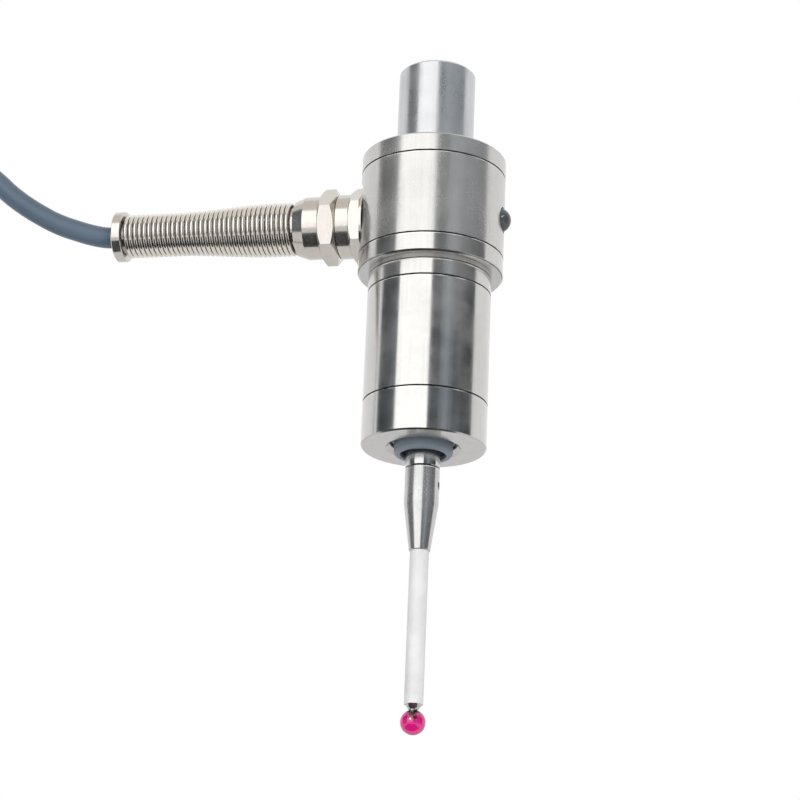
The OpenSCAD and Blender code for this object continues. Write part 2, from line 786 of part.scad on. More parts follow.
module contact_strips() {
    strip_w = 1.8;
    button_r = 0.7;
    button_reach = disc_d / 2 - 1.2;
    inner = button_reach - strip_w / 2;
    outer = wire_reach + strip_w / 2;
    color(BRASS) for (side = [0, 180]) rotate([0, 0, side]) {
        translate([-strip_w / 2, inner, z_plate_top]) cube([strip_w, outer - inner, strip_t]);
        translate([0, button_reach, z_plate_top + strip_t / 2])
            cylinder(r = button_r, h = strip_t / 2 + button_h, $fn = 32);
    }
}

module plunger() {
    rod = plunger_d / 2;
    tip = 0.4;
    color(STEEL) turned([
        [0, z_tip], [rod - tip, z_tip], [rod, z_tip + tip], [rod, z_disc], [plunger_neck_r, z_disc],
        [plunger_neck_r, z_plunger_top], [0, z_plunger_top]
    ]);
}

module contact_disc() {
    bore = plunger_neck_r + fit_gap;
    color(BRASS) turned([
        [bore, z_disc], [disc_d / 2, z_disc], [disc_d / 2, z_disc_top], [bore, z_disc_top]
    ]);
}

module plunger_spring() {
    mean_r = 2.2;
    turns = 4.5;
    color(STEEL) translate([0, 0, z_disc_top + rest_gap])
        coil_spring(mean_r, mean_r, inner_wire_d, turns, z_spring_plate - z_disc_top - 2 * rest_gap);
}

module spring_plate() {
    wire_hole_d = 1.2;
    color(PLASTIC) difference() {
        translate([0, 0, z_spring_plate]) cylinder(r = barrel_neck_r - fit_gap, h = spring_plate_t);
        translate([0, 0, z_spring_plate - over])
            cylinder(d = plunger_d + 0.4, h = spring_plate_t + 2 * over);
        at_wires() translate([0, 0, z_spring_plate - over])
            cylinder(d = wire_hole_d, h = spring_plate_t + 2 * over, $fn = 32);
    }
}

module signal_wires() {
    wire_r = 0.4;
    low = z_plate_top + strip_t;
    color(PLASTIC) at_wires() translate([0, 0, low]) cylinder(r = wire_r, h = z_board - low, $fn = 24);
}

module circuit_board() {
    screw_hole_r = board_screw_r + 3 * fit_gap;
    color(BOARD_GREEN) difference() {
        translate([0, 0, z_board]) cylinder(d = board_d, h = board_t);
        at_screws() translate([0, 0, z_board - over])
            cylinder(r = screw_hole_r, h = board_t + 2 * over, $fn = 32);
    }
}

module board_parts() {
    chip = [5, 4, 1.3];
    small = [2, 1.2, 0.9];
    color(PLASTIC) {
        translate([-chip[0] / 2, -chip[1] / 2, z_board - chip[2]]) cube(chip);
        for (place = [[-5.6, 4.2], [-5.6, -5.4], [3, 2.8], [3, -4]])
            translate([place[0], place[1], z_board - small[2]]) cube(small);
    }
}

module board_screws() {
    cap_r = 1.8;
    head_t = 1.1;
    head_edge = 0.3;
    socket_r = 0.8;
    socket_depth = 0.6;
    grip = board_t + post_h - socket_depth;
    color(STEEL) at_screws() translate([0, 0, z_board]) difference() {
        turned([
            [0, -head_t], [cap_r - head_edge, -head_t], [cap_r, -head_t + head_edge], [cap_r, 0],
            [board_screw_r, 0], [board_screw_r, grip], [0, grip]
        ]);
        translate([0, 0, -head_t - over]) cylinder(r = socket_r, h = over + socket_depth, $fn = 6);
    }
}

module led() {
    r = led_d / 2;
    root = led_reach - led_len;
    dome = led_len - r;
    color(LAMP) on_lamp(root) turned(concat(
        [[0, 0], [lamp_flange_d / 2, 0], [lamp_flange_d / 2, lamp_flange_h], [r, lamp_flange_h]],
        arc(0, dome, r, 0, 90, 12)
    ));
}

module led_legs() {
    spread = 1.27;
    run = 2.4;
    wire_r = 0.25;
    rise = z_board - z_lamp;
    color(STEEL) for (side = [-1, 1])
        translate([led_reach - led_len, side * spread, z_lamp]) rotate([0, -90, 0])
            bent_wire(run, rise, wire_r, 0.8);
}

module led_grommet() {
    start = led_reach - led_len + lamp_flange_h;
    inner = led_d / 2 + fit_gap;
    outer = led_hole_d / 2 - fit_gap;
    length = body_r - led_lip - start;
    slope = 0.3;
    color(RUBBER) on_lamp(start)
        turned([[inner, 0], [outer, 0], [outer, length], [inner, length - slope]]);
}

module gland_ring() {
    inner = gland_thread_d / 2 + fit_gap;
    outer = gland_af / 2 + 0.3;
    color(RUBBER) on_gland(spot_reach)
        turned([[inner, 0], [outer, 0], [outer, gland_ring_t], [inner, gland_ring_t]]);
}

module gland_body() {
    bore = gland_bore_d / 2;
    thread_r = gland_thread_d / 2;
    collar_r = gland_af / 2 - gland_collar_step;
    root = -gland_ring_t - gland_thread_len;
    collar_end = hex_h + gland_collar_h;
    mouth = collar_end + nozzle_len;
    color(NICKEL) on_gland(s_hex) difference() {
        union() {
            hexagon(gland_af, hex_h, hex_turn, false, true);
            turned([
                [0, root], [thread_r - edge_chamfer, root], [thread_r, root + edge_chamfer],
                [thread_r, hex_h / 2], [collar_r, hex_h / 2], [collar_r, collar_end - edge_chamfer],
                [collar_r - edge_chamfer, collar_end], [nozzle_d / 2, collar_end], [nozzle_d / 2, mouth],
                [0, mouth]
            ]);
        }
        translate([0, 0, root - over]) cylinder(r = bore, h = mouth - root + 2 * over);
        translate([0, 0, mouth - gland_seal_len])
            cylinder(d = gland_seal_d + 2 * fit_gap, h = gland_seal_len + over);
    }
}

module gland_seal() {
    color(RUBBER) on_gland(s_nut + nozzle_len - gland_seal_len) turned([
        [cable_r + fit_gap, 0], [gland_seal_d / 2, 0], [gland_seal_d / 2, gland_seal_len],
        [cable_r + fit_gap, gland_seal_len]
    ]);
}

module gland_nut() {
    thread_r = nozzle_d / 2 + fit_gap;
    bore = gland_bore_d / 2;
    room = nozzle_len + 2 * fit_gap;
    cone_end = s_spring - s_nut;
    bush_len = 2;
    sleeve_end = s_cone - s_nut;
    sleeve_r = gland_af / 2 - sleeve_step;
    color(NICKEL) on_gland(s_nut + fit_gap) difference() {
        union() {
            hexagon(gland_af, nut_hex_h, nut_turn, true, true);
            turned([
                [0, nut_hex_h / 2], [sleeve_r, nut_hex_h / 2], [sleeve_r, sleeve_end],
                [relief_d / 2 + 0.1, cone_end - fit_gap], [relief_core_d / 2, cone_end - fit_gap],
                [relief_core_d / 2, cone_end + bush_len], [0, cone_end + bush_len]
            ]);
        }
        turned([
            [0, -over], [thread_r, -over], [thread_r, room], [bore, room],
            [bore, cone_end + bush_len + over], [0, cone_end + bush_len + over]
        ]);
    }
}

module relief_spring() {
    ra = (relief_d - relief_wire_d) / 2;
    rb = (relief_end_d - relief_wire_d) / 2;
    color(NICKEL) on_gland(s_spring + fit_gap)
        coil_spring(ra, rb, relief_wire_d, relief_turns, relief_len - 2 * fit_gap, from = 0.12, to = 0.7);
}

module relief_cap() {
    r = relief_cap_d / 2;
    root = -3;
    color(NICKEL) on_gland(s_cap) difference() {
        turned([
            [0, root], [relief_end_core_d / 2, root], [relief_end_core_d / 2, 0], [r - edge_chamfer, 0],
            [r, edge_chamfer], [r, relief_cap_h - edge_chamfer], [r - edge_chamfer, relief_cap_h],
            [0, relief_cap_h]
        ]);
        translate([0, 0, root - over]) cylinder(r = cable_r + fit_gap, h = relief_cap_h - root + 2 * over);
    }
}

module cable_lead() {
    color(CABLE_GREY) on_gland(lead_start) cylinder(r = cable_r, h = s_end - lead_start);
}

module lead_cores() {
    core_r = 0.4;
    run = 3.6;
    rise = z_board - z_gland;
    color(PLASTIC) for (y = [-1.2, 0, 1.2])
        translate([-lead_start, y, z_gland]) mirror([1, 0, 0]) rotate([0, -90, 0])
            bent_wire(run, rise, core_r, 1);
}

module cable() {
    color(CABLE_GREY) {
        tube(CABLE_ROUTE, cable_r);
        tube(TAIL_ROUTE, cable_r);
    }
}

module cable_coil() {
    corner_y = (coil_rows - 1) * cable_r;
    inner = coil_r - (coil_layers - 1) * cable_r;
    outer = coil_r + (coil_layers - 1) * cable_r;
    color(CABLE_GREY) translate(COIL_CENTRE) rotate([90, 0, 0]) turned(concat(
        arc(outer, corner_y, cable_r, 0, 90), arc(inner, corner_y, cable_r, 90, 180),
        arc(inner, -corner_y, cable_r, 180, 270), arc(outer, -corner_y, cable_r, 270, 360)
    ));
}

module cable_tie() {
    slack = 0.3;
    w = coil_rows * cable_d + 2 * slack;
    h = coil_layers * cable_d + 2 * slack;
    color(PLASTIC) translate(COIL_CENTRE + [-tie_w / 2, 0, coil_r]) rotate([0, 90, 0])
        linear_extrude(tie_w) difference() {
            square([h + 2 * tie_t, w + 2 * tie_t], center = true);
            square([h, w], center = true);
        }
}

// Places a piece drawn downwards from the plug's cable end
module on_plug(drop = 0) {
    translate(PLUG_TOP - [0, 0, drop]) children();
}

module plug_boot() {
    end_r = plug_grip_d / 2 - 1.8;
    mouth_r = cable_r + 1;
    mouth_edge = 0.4;
    seat_len = 1;
    color(RUBBER) on_plug() turned([
        [0, 0], [mouth_r - mouth_edge, 0], [mouth_r, -mouth_edge], [end_r, seat_len - plug_boot_len],
        [end_r, -plug_boot_len], [0, -plug_boot_len]
    ]);
}

module plug_grip() {
    r = plug_grip_d / 2;
    ring_pitch = 2.2;
    floor_r = r - 0.35;
    first_ring = 4;
    rings = 5;
    top_edge = 1;
    low_edge = 0.6;
    core = plug_grip_len - plug_insert_depth;
    bore = plug_skirt_d / 2 - plug_wall;
    color(NICKEL) on_plug(plug_boot_len) difference() {
        turned([
            [0, 0], [r - top_edge, 0], [r, -top_edge], [r, low_edge - plug_grip_len],
            [r - low_edge, -plug_grip_len], [bore, -plug_grip_len], [bore, -core], [0, -core]
        ]);
        for (i = [0 : rings - 1]) translate([0, 0, -first_ring - ring_pitch * i])
            turned([[floor_r, 0], [r + over, 0], [r + over, -ring_pitch / 2], [floor_r, -ring_pitch / 2]]);
    }
}

module plug_skirt() {
    r = plug_skirt_d / 2;
    edge = 0.3;
    color(NICKEL) on_plug(plug_boot_len + plug_grip_len) turned([
        [r - plug_wall, 0], [r, 0], [r, edge - plug_skirt_len], [r - edge, -plug_skirt_len],
        [r - plug_wall, -plug_skirt_len]
    ]);
}

module plug_insert() {
    r = plug_skirt_d / 2 - plug_wall - fit_gap;
    depth = plug_insert_depth;
    face = 2;
    color(PLASTIC) on_plug(plug_boot_len + plug_grip_len) difference() {
        turned([[0, depth], [r, depth], [r, -face], [0, -face]]);
        plug_contacts(plug_pin_tail + 2 * fit_gap, over + face, plug_pin_d / 2 + fit_gap);
    }
}

// Five contacts on a half circle, from a height above the skirt's root to a depth below it
module plug_contacts(up, down, r) {
    for (a = [0 : 45 : 180]) rotate([0, 0, a]) translate([plug_pin_circle / 2, 0, -down])
        cylinder(r = r, h = up + down, $fn = 32);
}

module plug_pins() {
    tip = plug_skirt_len - 1;
    color(BRASS) on_plug(plug_boot_len + plug_grip_len) plug_contacts(plug_pin_tail, tip, plug_pin_d / 2);
}

shank();
shank_nut();
top_cover();
cover_oring();
upper_body();
base_ring();
body_oring();
barrel_oring();
barrel();
nose_cap();
nose_oring();
seat_ring();
seat_cap();
seat_nut();
boot();
guide_pins();
ball_bush();
stylus_carrier();
stylus_holder();
stem();
ball_pin();
ruby_ball();
main_spring();
contact_plate();
contact_strips();
plunger();
contact_disc();
plunger_spring();
spring_plate();
signal_wires();
circuit_board();
board_parts();
board_screws();
led();
led_legs();
led_grommet();
gland_ring();
gland_body();
gland_seal();
gland_nut();
relief_spring();
relief_cap();
cable_lead();
lead_cores();
cable();
cable_coil();
cable_tie();
plug_boot();
plug_grip();
plug_skirt();
plug_insert();
plug_pins();
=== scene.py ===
"""Looks of a cable touch probe: its studio, its cable and the finish of every piece.

All lengths are in metres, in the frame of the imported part: +Z up the shank, -X along the cable gland.
"""

import math

import bpy
from bpy.props import FloatProperty, FloatVectorProperty, IntProperty, PointerProperty
from mathutils import Matrix, Vector


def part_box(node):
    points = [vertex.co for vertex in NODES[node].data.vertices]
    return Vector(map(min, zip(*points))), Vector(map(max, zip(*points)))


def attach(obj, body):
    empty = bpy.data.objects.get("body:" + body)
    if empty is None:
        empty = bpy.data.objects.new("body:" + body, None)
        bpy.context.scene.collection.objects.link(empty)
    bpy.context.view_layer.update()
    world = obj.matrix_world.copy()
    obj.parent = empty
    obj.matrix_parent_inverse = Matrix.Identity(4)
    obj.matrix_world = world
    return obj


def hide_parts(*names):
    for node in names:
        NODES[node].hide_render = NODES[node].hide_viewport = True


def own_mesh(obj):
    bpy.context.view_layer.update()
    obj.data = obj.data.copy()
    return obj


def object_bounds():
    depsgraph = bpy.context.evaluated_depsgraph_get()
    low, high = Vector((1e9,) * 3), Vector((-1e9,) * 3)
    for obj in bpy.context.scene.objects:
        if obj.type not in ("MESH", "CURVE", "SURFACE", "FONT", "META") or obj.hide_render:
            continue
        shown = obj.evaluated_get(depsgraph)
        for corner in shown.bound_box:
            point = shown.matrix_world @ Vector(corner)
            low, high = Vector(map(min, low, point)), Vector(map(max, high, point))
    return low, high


bl_info = {
    "name": "Cable Touch Probe",
    "version": (1, 0, 0),
    "blender": (4, 5, 0),
    "location": "View3D > Sidebar > Probe",
    "description": "Gives a cable touch probe its finishes, its cable and a small studio",
    "category": "Add Mesh",
}

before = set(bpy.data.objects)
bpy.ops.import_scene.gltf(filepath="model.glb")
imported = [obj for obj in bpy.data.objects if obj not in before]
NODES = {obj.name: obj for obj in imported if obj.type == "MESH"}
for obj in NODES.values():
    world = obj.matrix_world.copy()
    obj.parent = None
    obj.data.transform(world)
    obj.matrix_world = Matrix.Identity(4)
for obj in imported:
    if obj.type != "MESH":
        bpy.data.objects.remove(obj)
CAD_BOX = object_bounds()
MM = 0.001
MICRON = 0.000001

# Route of the cable in millimetres, from the gland's cap over a free bow to the coil
CABLE_ROUTE = [
    (-68.3, 0, -14), (-70.5, 0, -14), (-73.5, 0, -13.4), (-77.5, 0, -12.1), (-82, 0, -10.3),
    (-86, 0, -8.1), (-90, 0, -5.5), (-93.5, 0, -2.8), (-97, 0, 0.4), (-102.5, 0, 4.9),
    (-109, 0, 8.4), (-115.5, 0, 10.5),
    (-122.5, 0, 11.1), (-129.5, 0, 10.5), (-136.5, 0, 8.4), (-143, 0.1, 4.9), (-148, 0.3, 0.4),
    (-152.5, 0.7, -5), (-156, 1.2, -11.3), (-158, 1.9, -18), (-158.5, 2.8, -25), (-158.5, 4.2, -34),
    (-158.5, 5.6, -43), (-158.5, 6.5, -52), (-158.5, 6.75, -62),
]
# Tail of the cable in millimetres, from the coil down to the plug
TAIL_ROUTE = [(-158.5, -6.75, -72), (-158.5, -6.75, -82), (-158.5, -6.75, -92)]
COIL_CENTRE = Vector((-130, 0, -62)) * MM
COIL_ROWS = 4
COIL_LAYERS = 3
# Share of each turn of the coil in which the cable moves over to the next place
COIL_CROSSING = 0.28
# Shares of the relief spring's length between which it gets narrower
RELIEF_TAPER = (0.12, 0.70)

# Heights of the painted dark reflection at the flange's lower edge and of the painted shade line at the
# collar's root
FLANGE_EDGE = -25.97 * MM
COLLAR_ROOT = -26.75 * MM
# Colour of the painted highlight on the lip below a seam
LIP_HIGHLIGHT = (0.95, 0.94, 0.92)

# Upright grey cards: where each begins and ends, in degrees to the right of the camera, and the levels of
# its three parts from the bottom up, which the barrel and nose, the body, and the shank mirror
CARDS = [
    (-97, -88, 1.1, 0.3, 0.2), (-88, -80, 0.8, 0.2, 0.2), (-80, -68, 1.0, 0.5, 0.7),
    (-68, -57, 1.4, 1.2, 1.6), (4, 11, 1.0, 0.7, 1.0), (11, 16, 1.3, 0.9, 1.3),
    (16, 24, 1.2, 1.4, 1.6), (24, 31, 2.4, 4.6, 3.2), (31, 41, 3.3, 5.8, 3.2),
    (41, 48, 2.2, 5.0, 2.9), (48, 58, 1.2, 4.2, 3.0), (58, 66, 1.2, 3.6, 3.2),
    (66, 78, 0.7, 2.0, 3.4), (78, 94, 0.6, 1.2, 2.6),
]
CARD_REACH = 0.78
CARD_STEPS = 24
# Heights where the parts of a card begin and end, and the tint of each part
CARD_HEIGHTS = (-0.32, 0.30, 0.355, 0.85)
CARD_TINTS = ((0.86, 0.98, 1.12), (1.02, 1.0, 0.94), (0.82, 0.98, 1.16))
# Levels of the dark card below the probe and of the pale one above it
BELOW_LEVEL = 0.35
ABOVE_LEVEL = 7.5
# Small lamps for one piece each: its node, degrees to the right of the camera, height, width and length
SPARKS = [("ball_spark", "ruby_ball", -27, 0.14, 0.22, 0.22), ("lamp_spark", "led", 30, 0.19, 0.10, 0.60)]
SPARK_REACH = 0.73


class ProbeStageSettings(bpy.types.PropertyGroup):
    """Camera and lamps of the studio"""

    camera_place: FloatVectorProperty(
        name="Camera Place", description="Where the camera stands", subtype="XYZ", unit="LENGTH",
        default=(0.0995, -0.4725, -0.2203))
    camera_aim: FloatVectorProperty(
        name="Camera Aim", description="Point that the camera looks at", subtype="XYZ", unit="LENGTH",
        default=(-0.0050, -0.0011, -0.0531))
    camera_roll: FloatProperty(
        name="Camera Roll", description="Turn of the camera about its own axis", subtype="ANGLE",
        default=math.radians(2.414))
    camera_lens: FloatProperty(
        name="Lens", description="Focal length on a 36 mm sensor, in millimetres", default=113.4)
    softbox_glow: FloatProperty(
        name="Softbox Glow", description="Glow of the large softbox", default=0.74)
    room_light: FloatProperty(
        name="Room Light", description="Strength of the even light from all around", default=0.32)
    fill_light: FloatProperty(
        name="Fill Light", description="Power of the soft lamp at the right of the camera, in watts",
        default=2.3)
    side_light: FloatProperty(
        name="Side Light", description="Power of the soft lamp at the left, in watts", default=0.69)
    back_light: FloatProperty(
        name="Back Light", description="Power of the soft lamp behind the probe, in watts", default=4.0)
    spark_glow: FloatProperty(
        name="Spark Glow", description="Glow of the small lamps for the ball and the status lamp",
        default=9.0)
    card_glow: FloatProperty(
        name="Card Glow", description="Glow of a card of level 1, where full white is 1", default=0.10)
    floor_glow: FloatProperty(
        name="Floor Glow", description="How bright the floor looks near the probe, where 1 is white",
        default=0.8)
    floor_drop: FloatProperty(
        name="Floor Drop", description="Gap between the lowest point of the probe and the floor",
        unit="LENGTH", default=0.16)


class ProbeMetalSettings(bpy.types.PropertyGroup):
    """Colours and finishes of the metal pieces"""

    housing_colour: FloatVectorProperty(
        name="Housing Steel", description="Colour of the turned housing", subtype="COLOR", size=3,
        default=(0.62, 0.612, 0.594))
    shank_colour: FloatVectorProperty(
        name="Shank Steel", description="Colour of the ground shank", subtype="COLOR", size=3,
        default=(0.634, 0.646, 0.658))
    stylus_colour: FloatVectorProperty(
        name="Stylus Steel", description="Colour of the polished stylus", subtype="COLOR", size=3,
        default=(0.61, 0.605, 0.60))
    nickel_colour: FloatVectorProperty(
        name="Nickel", description="Colour of the plated gland and plug", subtype="COLOR", size=3,
        default=(0.76, 0.715, 0.665))
    inner_colour: FloatVectorProperty(
        name="Inner Steel", description="Colour of the machined pieces inside", subtype="COLOR", size=3,
        default=(0.52, 0.52, 0.52))
    brass_colour: FloatVectorProperty(
        name="Brass", description="Colour of the brass pieces", subtype="COLOR", size=3,
        default=(0.72, 0.50, 0.22))
    housing_roughness: FloatProperty(
        name="Housing Roughness", description="Roughness of the turned housing", subtype="FACTOR",
        min=0, max=1, default=0.24)
    barrel_roughness: FloatProperty(
        name="Barrel Roughness", description="Roughness of the finer turned barrel and nose",
        subtype="FACTOR", min=0, max=1, default=0.17)
    shank_roughness: FloatProperty(
        name="Shank Roughness", description="Roughness of the ground shank", subtype="FACTOR",
        min=0, max=1, default=0.30)
    gland_roughness: FloatProperty(
        name="Gland Roughness", description="Roughness of the gland's nickel plate", subtype="FACTOR",
        min=0, max=1, default=0.15)
    spring_roughness: FloatProperty(
        name="Spring Roughness", description="Roughness of the relief spring's nickel plate",
        subtype="FACTOR", min=0, max=1, default=0.09)


class ProbeSoftSettings(bpy.types.PropertyGroup):
    """Colours of the rubber, plastic, ceramic and ruby pieces, and the cable's sizes"""

    cable_colour: FloatVectorProperty(
        name="Cable", description="Colour of the cable's sheath", subtype="COLOR", size=3,
        default=(0.105, 0.150, 0.205))
    boot_colour: FloatVectorProperty(
        name="Boot", description="Colour of the rubber boot in the nose", subtype="COLOR", size=3,
        default=(0.215, 0.255, 0.305))
    seal_colour: FloatVectorProperty(
        name="Seals", description="Colour of the seals and the plug's sleeve", subtype="COLOR", size=3,
        default=(0.012, 0.012, 0.013))
    plastic_colour: FloatVectorProperty(
        name="Dark Plastic", description="Colour of the moulded plastic", subtype="COLOR", size=3,
        default=(0.020, 0.020, 0.022))
    board_colour: FloatVectorProperty(
        name="Board", description="Colour of the circuit board's lacquer", subtype="COLOR", size=3,
        default=(0.010, 0.090, 0.035))
    lamp_colour: FloatVectorProperty(
        name="Lamp", description="Colour of the smoked lamp", subtype="COLOR", size=3,
        default=(0.055, 0.057, 0.060))
    ceramic_colour: FloatVectorProperty(
        name="Ceramic", description="Colour of the ceramic stem", subtype="COLOR", size=3,
        default=(0.84, 0.84, 0.84))
    ruby_colour: FloatVectorProperty(
        name="Ruby", description="Colour of the ruby ball", subtype="COLOR", size=3,
        default=(0.74, 0.010, 0.230))
    cable_diameter: FloatProperty(
        name="Cable Diameter", description="Diameter of the cable", unit="LENGTH", default=0.0045)
    cable_length: FloatProperty(
        name="Cable Length", description="Real length of the cable", unit="LENGTH", default=2.0)
    coil_radius: FloatProperty(
        name="Coil Radius", description="Radius of the coil's middle turns", unit="LENGTH", default=0.024)
    coil_points: IntProperty(
        name="Coil Points", description="Points along each turn of the coil", default=18)


class ProbeSpringSettings(bpy.types.PropertyGroup):
    """Sizes of the gland's relief spring and of the springs inside"""

    relief_wire: FloatProperty(
        name="Relief Wire", description="Wire of the relief spring", unit="LENGTH", default=0.95 * MM)
    relief_foot: FloatProperty(
        name="Relief Foot", description="Outer diameter of the relief spring at the gland", unit="LENGTH",
        default=11.4 * MM)
    relief_tip: FloatProperty(
        name="Relief Tip", description="Outer diameter of the relief spring at its cap", unit="LENGTH",
        default=9.3 * MM)
    relief_turns: IntProperty(
        name="Relief Turns", description="Turns of the relief spring", default=35)
    inner_wire: FloatProperty(
        name="Inner Wire", description="Wire of the springs inside", unit="LENGTH", default=0.5 * MM)
    inner_turns: FloatProperty(
        name="Inner Turns", description="Turns of the springs inside", default=4.5)
    head_room: FloatProperty(
        name="Head Room", description="Gap below the main spring for the leaning carrier", unit="LENGTH",
        default=0.5 * MM)


def settings(name):
    """The scene's settings of one kind."""
    return getattr(bpy.context.scene, name)


# Node trees

def put(tree, kind, inputs=None, **attributes):
    """Adds a node, sets its attributes, and sets or links its inputs by name or number."""
    node = tree.nodes.new(kind)
    for name, value in attributes.items():
        setattr(node, name, value)
    for key, value in (inputs or {}).items():
        socket = node.inputs[key]
        if isinstance(value, bpy.types.NodeSocket):
            tree.links.new(value, socket)
        else:
            socket.default_value = value
    return node


def calc(tree, operation, *values):
    """The result of one math node."""
    return put(tree, "ShaderNodeMath", dict(enumerate(values)), operation=operation).outputs[0]


def span(tree, value, low, high, to_low=0.0, to_high=1.0):
    """A value carried from one span to another and held there."""
    inputs = {"Value": value, "From Min": low, "From Max": high, "To Min": to_low, "To Max": to_high}
    return put(tree, "ShaderNodeMapRange", inputs).outputs[0]


def blend_colours(tree, mask, first, second):
    """Two colours mixed by a mask."""
    node = put(tree, "ShaderNodeMix", data_type="RGBA")
    for index, value in ((0, mask), (6, first), (7, second)):
        if isinstance(value, bpy.types.NodeSocket):
            tree.links.new(value, node.inputs[index])
        elif index:
            node.inputs[index].default_value = (*value, 1)
        else:
            node.inputs[index].default_value = value
    return node.outputs[2]


def shade(colour, share):
    """A colour made darker or lighter."""
    return tuple(min(c * share, 1) for c in colour)


def noise(tree, vector, scale, detail=2.0, roughness=0.5):
    """The grey value of a noise texture."""
    inputs = {"Vector": vector, "Scale": scale, "Detail": detail, "Roughness": roughness}
    return put(tree, "ShaderNodeTexNoise", inputs).outputs[0]


def new_group(name, inputs, outputs):
    """An empty shader node group with named number inputs and outputs."""
    group = bpy.data.node_groups.new(name, "ShaderNodeTree")
    for label, default in inputs:
        socket = group.interface.new_socket(name=label, in_out="INPUT", socket_type="NodeSocketFloat")
        socket.default_value = default
    for label in outputs:
        group.interface.new_socket(name=label, in_out="OUTPUT", socket_type="NodeSocketFloat")
    return group, group.nodes.new("NodeGroupInput"), group.nodes.new("NodeGroupOutput")


def turned_marks_group():
    """Fine rings that a turning tool leaves on a surface around Z, as height and as a grey mask."""
    group, given, out = new_group(
        "Turned Marks", [("Rings per Metre", 9000.0), ("Drift", 40.0)], ["Height", "Mask"])
    place = put(group, "ShaderNodeTexCoord").outputs["Object"]
    axes = put(group, "ShaderNodeSeparateXYZ", {0: place})
    squares = [calc(group, "MULTIPLY", axes.outputs[i], axes.outputs[i]) for i in range(2)]
    radius = calc(group, "SQRT", calc(group, "ADD", *squares))
    along = calc(group, "MULTIPLY", calc(group, "ADD", axes.outputs[2], radius), given.outputs[0])
    rings = put(group, "ShaderNodeCombineXYZ", {
        0: calc(group, "MULTIPLY", axes.outputs[0], given.outputs[1]),
        1: calc(group, "MULTIPLY", axes.outputs[1], given.outputs[1]),
        2: along,
    }).outputs[0]
    fine = noise(group, rings, 1.0, 3.0, 0.6)
    broad = noise(group, rings, 0.12, 2.0)
    group.links.new(fine, out.inputs["Height"])
    group.links.new(span(group, broad, 0.35, 0.65), out.inputs["Mask"])
    return group


def satin_grain_group():
    """Even small grain of a satin surface, as height and as a sparse sparkle mask."""
    group, given, out = new_group("Satin Grain", [("Grains per Metre", 9000.0)], ["Height", "Sparkle"])
    place = put(group, "ShaderNodeTexCoord").outputs["Object"]
    grain = noise(group, place, given.outputs[0], 2.0, 0.6)
    coarse = noise(group, place, calc(group, "MULTIPLY", given.outputs[0], 0.45), 1.0)
    group.links.new(grain, out.inputs["Height"])
    group.links.new(span(group, coarse, 0.56, 0.72), out.inputs["Sparkle"])
    return group


def polish_streaks_group():
    """Faint streaks along Z that polishing leaves, as a mask."""
    group, given, out = new_group("Polish Streaks", [("Streaks per Metre", 1300.0)], ["Mask"])
    place = put(group, "ShaderNodeTexCoord").outputs["Object"]
    drawn_out = {0: place, 1: (1.0, 1.0, 0.03)}
    thin = put(group, "ShaderNodeVectorMath", drawn_out, operation="MULTIPLY").outputs[0]
    streaks = noise(group, thin, given.outputs[0], 3.0, 0.65)
    group.links.new(span(group, streaks, 0.35, 0.65), out.inputs["Mask"])
    return group


def handling_group():
    """Soft clouds of wiping and handling, and small dark pits, as masks."""
    group, given, out = new_group(
        "Handling", [("Clouds per Metre", 120.0), ("Pits per Metre", 330.0)], ["Clouds", "Pits"])
    place = put(group, "ShaderNodeTexCoord").outputs["Object"]
    clouds = noise(group, place, given.outputs[0], 4.0, 0.6)
    cells = put(group, "ShaderNodeTexVoronoi", {"Vector": place, "Scale": given.outputs[1]})
    dots = span(group, cells.outputs["Distance"], 0.05, 0.03)
    pick = put(group, "ShaderNodeSeparateColor", {0: cells.outputs["Color"]}).outputs[0]
    chosen = calc(group, "GREATER_THAN", pick, 0.97)
    group.links.new(span(group, clouds, 0.3, 0.7), out.inputs["Clouds"])
    group.links.new(calc(group, "MULTIPLY", dots, chosen), out.inputs["Pits"])
    return group


def seam_grime_group():
    """Painted shade as a dark line in the seam between two pieces, and a painted highlight on the lip below
    it, as masks.
    """
    inputs = [("Seam Height", 0.0), ("Half Width", 0.15 * MM), ("Lip Drop", 0.3 * MM)]
    group, given, out = new_group("Seam Grime", inputs, ["Mask", "Lip"])
    place = put(group, "ShaderNodeTexCoord").outputs["Object"]
    height = put(group, "ShaderNodeSeparateXYZ", {0: place}).outputs[2]
    away = calc(group, "ABSOLUTE", calc(group, "SUBTRACT", height, given.outputs[0]))
    uneven = span(group, noise(group, place, 700.0, 2.0), 0.3, 0.7, 0.6, 1.2)
    share = calc(group, "DIVIDE", away, calc(group, "MULTIPLY", given.outputs[1], uneven))
    # Mask: painted shade in the seam
    group.links.new(span(group, share, 1.0, 0.5), out.inputs["Mask"])
    # Lip: painted highlight on the lip below the seam, broken into patches
    under = calc(group, "SUBTRACT", calc(group, "SUBTRACT", given.outputs[0], given.outputs[2]), height)
    lip = span(group, calc(group, "ABSOLUTE", under), 0.12 * MM, 0.05 * MM)
    lip_highlight_patches = span(group, noise(group, place, 260.0, 3.0), 0.40, 0.62)
    group.links.new(calc(group, "MULTIPLY", lip, lip_highlight_patches), out.inputs["Lip"])
    return group


def use_group(tree, build, **values):
    """Places a shared group in a tree, building it the first time, and sets its inputs."""
    title = build.__name__.removesuffix("_group").replace("_", " ").title()
    group = bpy.data.node_groups.get(title) or build()
    node = tree.nodes.new("ShaderNodeGroup")
    node.node_tree = group
    for name, value in values.items():
        node.inputs[name.replace("_", " ").title().replace("Per", "per")].default_value = value
    return node.outputs


def new_material(name):
    """An empty material with its tree and a Principled shader."""
    material = bpy.data.materials.new(name)
    material.use_nodes = True
    tree = material.node_tree
    return material, tree, tree.nodes["Principled BSDF"]


def bump(tree, shader, height):
    """Drives the shader's normal from a height in metres."""
    node = put(tree, "ShaderNodeBump", {"Height": height, "Strength": 1.0, "Distance": 1.0})
    tree.links.new(node.outputs[0], shader.inputs["Normal"])


